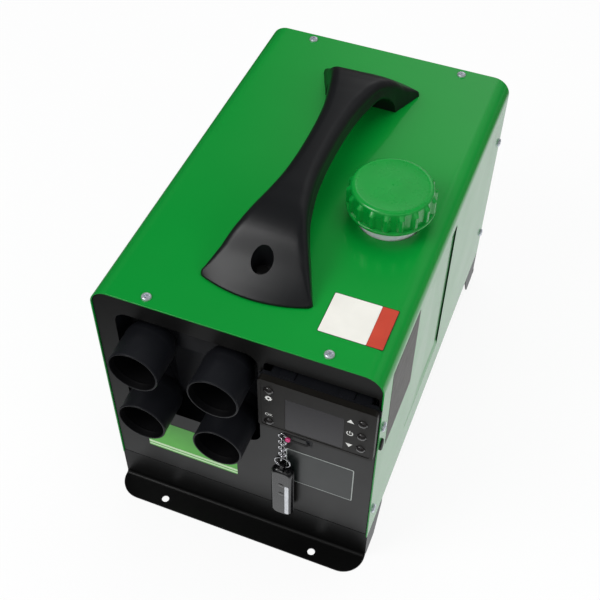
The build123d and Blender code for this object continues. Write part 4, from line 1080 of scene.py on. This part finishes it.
@dataclass
class Controller:
    """The controller: bezel, screen, keys and markings, in its holder."""

    left: float = 24.0
    right: float = 123.5
    low: float = 179.5
    high: float = 243.5
    face: float = -202.0
    depth: float = 6.0
    key_radius: float = 4.2
    window: tuple[float, float, float, float] = (47.5, 97.5, 184.0, 226.0)

    @property
    def keys(self) -> dict[str, tuple[float, float]]:
        """Each key's place as (X, Z)."""
        return {"up": (112.4, 226.5), "power": (112.4, 209.0), "down": (112.4, 191.5),
                "settings": (33.3, 231.0), "confirm": (33.3, 188.0)}

    def bezel(self) -> None:
        """The bezel and the window.

        The bezel is a block with pockets for the keys, a raised border, a step round the window
        and a pod behind it that goes into the holder.
        """
        def inset(sides: float, high: float, radius: float) -> Points:
            """The controller's outline, drawn in."""
            return rounded(self.left + sides, self.right - sides, self.low + sides,
                           self.high - high, radius)

        x0, x1, z0, z1 = self.window
        face, border = self.face, 2.6
        pockets = [circle(place, self.key_radius + 0.35, 40) for place in self.keys.values()]
        opening = rounded(x0 - 0.2, x1 + 0.2, z0 - 0.2, z1 + 0.2, 1.2)
        outline = inset(0.0, 0.0, 3.5)
        form = Form().plate(outline, face + 0.35, face + 1.4, [opening, *pockets])
        form.plate(outline, face + 1.2, face + self.depth, pockets)
        form.plate(outline, face, face + 0.6, [inset(border, border, 2.4)])
        form.plate(inset(9.3, 0.3, 1.5), face + self.depth - 0.5, face + self.depth + 14.0)
        form.piece("controller_bezel", "controller_brown", Look.BEZEL, node="controller_case",
                   bevel=0.35)
        glass = Form().plate(rounded(x0, x1, z0, z1, 1.0), face + 0.45, face + 1.1)
        glass.piece("controller_window", "screen_grey", Look.SCREEN, node="controller_screen",
                    bevel=0.2)

    def key(self, name: str, x: float, z: float) -> None:
        """One domed key with a flat skirt."""
        r = self.key_radius
        profile = [(0, -1.7), (1.2, -1.62), (2.4, -1.3), (3.2, -0.85), (3.7, -0.3), (3.9, 0.2),
                   (r, 0.35), (r, 3.6), (0, 3.6)]
        form = Form().turned(profile, (x, self.face, z), 48, axis=1)
        form.piece(f"key_{name}", "controller_brown", Look.KEY, body=f"{name}_key",
                   node=f"button_{name}", sharp=50)

    def markings(self) -> None:
        """The white markings beside the keys, each a thin plate on the face."""
        sign_x, gear_at = 102.6, (33.3, 220.4)
        arrow = np.array([(-3.0, -2.3), (3.0, -2.3), (0, 2.3)])
        power = np.vstack([arc((sign_x, 209.0), 2.9, 125, 415, 24),
                           arc((sign_x, 209.0), 2.1, 415, 125, 24)])
        teeth = 8
        turn = round_angles(teeth * 8)
        gear = polar(2.5 + 0.6 * soft_switch(np.cos(turn * teeth) * 8), turn) + gear_at
        form = Form()
        for sign, holes in ((arrow + (sign_x, 226.0), []),
                            (arrow[::-1] * (1, -1) + (sign_x, 192.0), []),
                            (power, []), (rounded(102.2, 103.0, 209.2, 212.6, 0.35, 3), []),
                            (gear, [circle(gear_at, 1.2, 24)])):
            form.plate(sign, self.face + 0.28, self.face + 0.4, holes)
        form.piece("key_markings", "controller_brown", Look.INK)
        self.word("OK", 33.3, 197.6, 4.6)

    def word(self, text: str, x: float, z: float, size: float) -> None:
        """A short generic word as a thin plate, centred on a place."""
        curve = bpy.data.curves.new("word", "FONT")
        curve.body = text
        curve.align_x = curve.align_y = "CENTER"
        curve.size = size * MM
        curve.extrude = 0.06 * MM
        holder = bpy.data.objects.new("word", curve)
        mesh = bpy.data.meshes.new_from_object(holder)
        bpy.data.objects.remove(holder)
        turn = Matrix.Rotation(math.pi / 2, 4, "X")
        mesh.transform(Matrix.Translation(Vector((x, self.face + 0.32, z)) * MM) @ turn)
        dress(mesh, "word_ok", "controller_brown", Look.INK, sharp=40)

    def build(self) -> None:
        """Makes the controller."""
        self.bezel()
        for name, (x, z) in self.keys.items():
            self.key(name, x, z)
        self.markings()
        copy_node("controller_holder", "holder", Look.DUCT, "duct_black", 0.5, 30)


@dataclass
class KeyFob:
    """The key fob that hangs from the controller's holder."""

    x: float = 44.5
    y: float = -200.2
    pivot: float = 171.5
    link: float = 3.2
    wire: float = 0.7
    links: int = 8
    ring: float = 7.0
    width: float = 21.0
    length: float = 74.0
    depth: float = 9.0

    def loop(self) -> None:
        """The cord loop that the chain hangs on, and its bead."""
        straight = np.linspace(0, 1, 13)[:-1, None]
        left, right, r = self.x + 2.5, self.x + 21.5, 2.5
        loop = np.vstack([
            arc((left, self.y), r, 90, 270, 12)[:-1],
            (left, self.y - r) + straight * (right - left, 0.0),
            arc((right, self.y), r, -90, 90, 12)[:-1],
            (right, self.y + r) + straight * (left - right, 0.0)])
        Form().swept(points(*loop.T, self.pivot), 1.0, closed=True).piece(
            "fob_cord_loop", "rubber_black", Look.RUBBER, node="fob_loop")
        angle = np.linspace(0, math.pi, 13)
        Form().turned(points(2.1 * np.sin(angle), -2.6 * np.cos(angle)),
                      (self.x + 6.0, self.y - r, self.pivot), 24, axis=0).piece(
            "fob_bead", "rubber_black", Look.BEAD)

    def build(self) -> None:
        """Makes the loop, the chain, the split ring and the fob."""
        self.loop()
        hole = self.link - self.wire
        step = 2 * hole - 0.35
        top = self.pivot - (hole - 1.0 - 0.35)
        form, link = Form(), polar(self.link, round_angles(40))
        for n in range(self.links):
            path = (Facing.SIDE if n % 2 else Facing.FRONT).points(link, 0)
            form.swept(path + (self.x, self.y, top - n * step), self.wire, closed=True)
        form.piece("fob_chain_links", "chain_chrome", Look.CHROME, body="fob", node="fob_chain")
        ring_z = top - (self.links - 1) * step - hole - self.ring + 1.35
        ring = polar(self.ring, np.linspace(0, 2 * FULL_TURN, 120))
        path = Facing.FRONT.points(ring, np.linspace(-0.5, 0.5, 120))
        Form().swept(path + (self.x, self.y, ring_z), 0.5, 10).piece(
            "fob_split_ring", "chain_chrome", Look.CHROME, body="fob", node="fob_ring")
        self.body(ring_z - self.ring - 3.2)

    def body(self, high: float) -> None:
        """The fob's case: two soft shells round a seam, a bright strip and two keys.

        Rounded outlines shrink as they go outwards: at depth d from the middle, the inset is
        edge (1 - sqrt(1 - (d / half)^2)), and a seam is cut in at the middle.
        """
        half, side, low, edge, seam = self.depth / 2, self.width / 2, high - self.length, 3.2, 0.5
        share = np.append(np.sin(np.radians(np.linspace(-90, 90, 17))), [-0.06, 0.06])
        loops = []
        for part in np.sort(share):
            inset = edge * (1 - math.sqrt(max(1 - part ** 2, 0)))
            inset += seam if abs(part) < 0.05 else 0
            flat = rounded(self.x - side + inset, self.x + side - inset, low + inset,
                           high - inset, 6.5 - inset * 0.6)
            loops.append(Facing.FRONT.points(flat, self.y + half * part))
        form = Form().tube(np.array(loops))
        eye, hole = circle((self.y, high + 1.2), 4.4, 40), circle((self.y, high + 3.2), 1.5, 24)
        form.plate(eye, self.x - 1.5, self.x + 1.5, [hole], Facing.SIDE)
        form.piece("fob_case", "fob_black", Look.FOB, body="fob", node="fob_body", bevel=0.25)
        front = self.y - half
        strip = rounded(self.x + 3.6, self.x + 7.4, low + 5.0, high - 22.0, 1.0, 4)
        trim = Form().plate(strip, front - 0.25, front + 0.4)
        trim.piece("fob_strip", "chain_chrome", Look.FOB_TRIM, body="fob", bevel=0.15)
        dome = [(0, -0.5), (1.6, -0.45), (2.7, -0.25), (3.3, 0.1), (3.4, 0.5), (3.4, 2.2),
                (0, 2.2)]
        for name, share in (("on", 0.30), ("off", 0.50)):
            form = Form().turned(dome, (self.x, front, high - share * self.length), 40, axis=1)
            form.piece(f"fob_key_{name}", "fob_black", Look.KEY, body=f"fob_{name}_key",
                       node=f"fob_button_{name}", sharp=50)


class Labels:
    """The bare labels, in their places and ground colours."""

    # Name, facing, surface, outward sign, slot, finishes, and films as (number of the finish,
    # rectangle with its corner radius, inner and outer height over the surface)
    ROWS = (
        ("label_front", Facing.FRONT, -193.0, -1, "cover_green", [Look.LABEL_GREEN],
         [(0, (-93, -3, 69, 115, 1.0), -0.05, 0.15)]),
        ("label_corner", Facing.FRONT, -193.0, -1, "panel_black",
         [Look.LABEL_DARK, Look.LABEL_EDGE],
         [(1, (45, 107, 92, 142, 1.5), -0.05, 0.15), (0, (46, 106, 93, 141, 1.0), 0.075, 0.3)]),
        ("label_side", Facing.SIDE, HALF, 1, "panel_black", [Look.LABEL_DATA],
         [(0, (-170, -99, 160, 258, 1.5), -0.05, 0.15)]),
        ("label_top", Facing.TOP, TOP, 1, "cover_green",
         [Look.LABEL_WHITE, Look.LABEL_RED, Look.LABEL_DARK],
         [(0, (60, 99.6, -166, -124.5, 1.0), -0.05, 0.15),
          (1, (99.4, 113, -166, -124.5, 1.0), -0.05, 0.15),
          (2, (59.5, 113.5, -166.5, -124.0, 1.3), -0.05, 0.075)]))

    def build(self) -> None:
        """Makes the four labels, each of films with rounded corners."""
        for name, facing, surface, out, slot, finishes, films in self.ROWS:
            form = Form()
            for number, corners, inner, outer in films:
                low, high = sorted((surface + out * inner, surface + out * outer))
                form.plate(rounded(*corners, 4), low, high, (), facing, number)
            form.piece(name, slot, *finishes)


class Insides:
    """The parts behind the panels and the small fittings, which keep their CAD shapes."""

    FITTINGS = {"base_tray": (Look.BLACK_COAT, "panel_black", 0.3),
                "cable_gland": (Look.RUBBER, "rubber_black", 0.4),
                "exhaust_pipe": (Look.HEATED, "burner_steel", 0.2),
                "intake_pipe": (Look.CAST, "cast_alloy", 0.2),
                "foot_bolts": (Look.ZINC, "zinc", 0.3),
                "main_fan": (Look.MOULDED, "fan_black", 0.2),
                "side_grommet": (Look.RUBBER, "rubber_black", 0.2)}
    FINISHES = {Look.ZINC: ("tank_shelf", "fuel_pump", "heater_stand", "blower_motor"),
                Look.MILKY: ("fuel_filter",),
                Look.RUBBER: ("cap_seal", "pump_mount", "fuel_line_tank", "fuel_line_pump",
                              "fuel_line_heater"),
                Look.FIBRE: ("heater_gasket",),
                Look.MOULDED: ("heater_lower_case", "heater_upper_case", "combustion_fan"),
                Look.CAST: ("heat_exchanger", "blower_housing"),
                Look.HEATED: ("burner", "glow_plug", "motor_shaft", "overheat_sensor"),
                Look.BOARD: ("control_board",)}

    def build(self, nodes: dict[str, bpy.types.Object]) -> None:
        """Dresses the fittings and gives the inner nodes their finishes."""
        for node, (finish, slot, bevel) in self.FITTINGS.items():
            copy_node(node, f"{node}_skin", finish, slot, bevel, 32)
        for finish, names in self.FINISHES.items():
            for name in names:
                for material_slot in nodes[name].material_slots:
                    material_slot.material = finish.material()


# ---- The studio ---------------------------------------------------------------------------------


@dataclass
class Studio:
    """The pale floor, the lamps, the world and the camera."""

    azimuth: float = 20.7514
    elevation: float = 49.3469
    roll: float = 0.8601
    focal: float = 61.51
    place: tuple[float, float, float] = (223.1, -634.9, 891.4)

    def camera(self) -> None:
        """The camera at the photograph's angle.

        From looking straight down it rolls, rises from the vertical and swings round +Z.
        """
        data = bpy.data.cameras.new("camera")
        data.lens = self.focal
        data.sensor_width = 36.0
        data.clip_start = 0.01
        frame = Matrix.Translation(Vector(self.place) * MM)
        for angle, axis in ((self.azimuth, "Z"), (90.0 - self.elevation, "X"), (self.roll, "Z")):
            frame = frame @ Matrix.Rotation(math.radians(angle), 4, axis)
        holder = add_object("camera", data)
        holder.matrix_world = frame
        bpy.context.scene.camera = holder

    def floor(self) -> None:
        """A white floor that glows for the camera and for reflections, and keeps a shadow.

        Its glow in reflections fades with distance, and towards the left and the front.
        """
        shader = Shader(bpy.data.materials.new("studio_floor"), "OutputMaterial")
        seen = shader.ray("Camera")
        mirrored = shader.ray("Glossy") + shader.ray("Transmission")
        side, depth = shader.axis("X"), shader.axis("Y")
        far, left, front = (610.0, 860.0), (-330.0, 40.0), (-385.0, -318.0)
        away = (side * side + depth * depth) ** 0.5
        room = shader.blend(away.ramp(*far), (0.92, 0.93, 0.94), (0.1, 0.09, 0.07))
        lit = (side.ramp(*left) * 0.78 + 0.22) * (depth.ramp(*front) * 0.85 + 0.15)
        tone = shader.blend(seen, shader.blend(lit, (0, 0, 0), room), (1, 1, 1))
        paint = shader.value("BsdfDiffuse", {"Color": (0.92, 0.92, 0.92)})
        glow = shader.value("Emission", {"Color": tone, "Strength": 1.0})
        shader.end(shader.value("MixShader", {0: seen * 0.9 + mirrored, 1: paint, 2: glow}))
        mesh = bpy.data.meshes.new("floor")
        reach = 4.0
        mesh.from_pydata([(-reach, -reach, 0), (reach, -reach, 0), (reach, reach, 0),
                          (-reach, reach, 0)], [], [(0, 1, 2, 3)])
        mesh.materials.append(shader.owner)
        add_object("floor", mesh)

    def world(self) -> None:
        """Soft light for the object, and for gloss a pale room that is dark overhead.

        What gloss mirrors goes by the ray's height, and dims to the left and the right.
        """
        world = bpy.data.worlds.new("studio")
        bpy.context.scene.world = world
        shader = Shader(world, "OutputWorld")
        ray = shader.value("TexCoord", output="Generated")
        height = shader.value("SeparateXYZ", {0: ray}, "Z")
        aside = shader.value("SeparateXYZ", {0: ray}, "X").ramp(-1.0, 1.0)
        bands = shader.value("ValToRGB", {0: height}, stops=[
            (0.0, 0.5), (0.03, 0.9), (0.07, 0.2), (0.2, 0.2), (0.34, 0.7), (0.46, 1.0),
            (0.655, 1.0), (0.70, 0.08), (0.87, 0.06), (1.0, 0.1)])
        strength = shader.value("ValToRGB", {0: aside}, stops=[
            (0.33, 0.1), (0.44, 1.0), (0.56, 1.0), (0.66, 0.4)])
        room = shader.value("Background", {"Color": bands, "Strength": strength})
        soft = shader.value("Background", {"Color": (0.96, 0.98, 1.0), "Strength": 0.42})
        white = shader.value("Background", {"Color": (1, 1, 1)})
        lit = shader.value("MixShader", {0: shader.ray("Glossy"), 1: soft, 2: room})
        seen = shader.ray("Camera") + shader.ray("Transmission")
        shader.end(shader.value("MixShader", {0: seen, 1: lit, 2: white}))

    def lamp(self, name: str, place: Sequence[float], size: float, power: float,
             glossy: bool) -> None:
        """One square soft lamp, in metres, that looks at the heater's middle."""
        data = bpy.data.lights.new(name, "AREA")
        data.size = size
        data.energy = power
        holder = add_object(name, data)
        middle = Vector((0.0, -0.05, 0.15))
        aim = middle - Vector(place)
        holder.rotation_mode = "QUATERNION"
        holder.rotation_quaternion = aim.to_track_quat("-Z", "Y")
        holder.location = place
        holder.visible_glossy = glossy

    def build(self) -> None:
        """Sets up the studio."""
        bpy.context.scene.view_settings.view_transform = "Standard"
        self.camera()
        self.floor()
        self.world()
        self.lamp("key_lamp", (-1.1, -1.2, 1.9), 1.1, 22.0, True)
        self.lamp("fill_lamp", (1.5, -0.8, 1.1), 1.2, 8.0, False)
        self.lamp("top_lamp", (0.1, 0.5, 2.2), 1.4, 16.0, False)


def main() -> None:
    """Builds the heater and its studio."""
    logging.basicConfig(level=logging.INFO, format="%(message)s")
    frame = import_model()
    for part in (Studio, Case, Fasteners, Grip, FillerCap, Outlets, Controller, KeyFob, Labels):
        part().build()
    Insides().build(frame["nodes"])


if __name__ == "__main__":
    main()
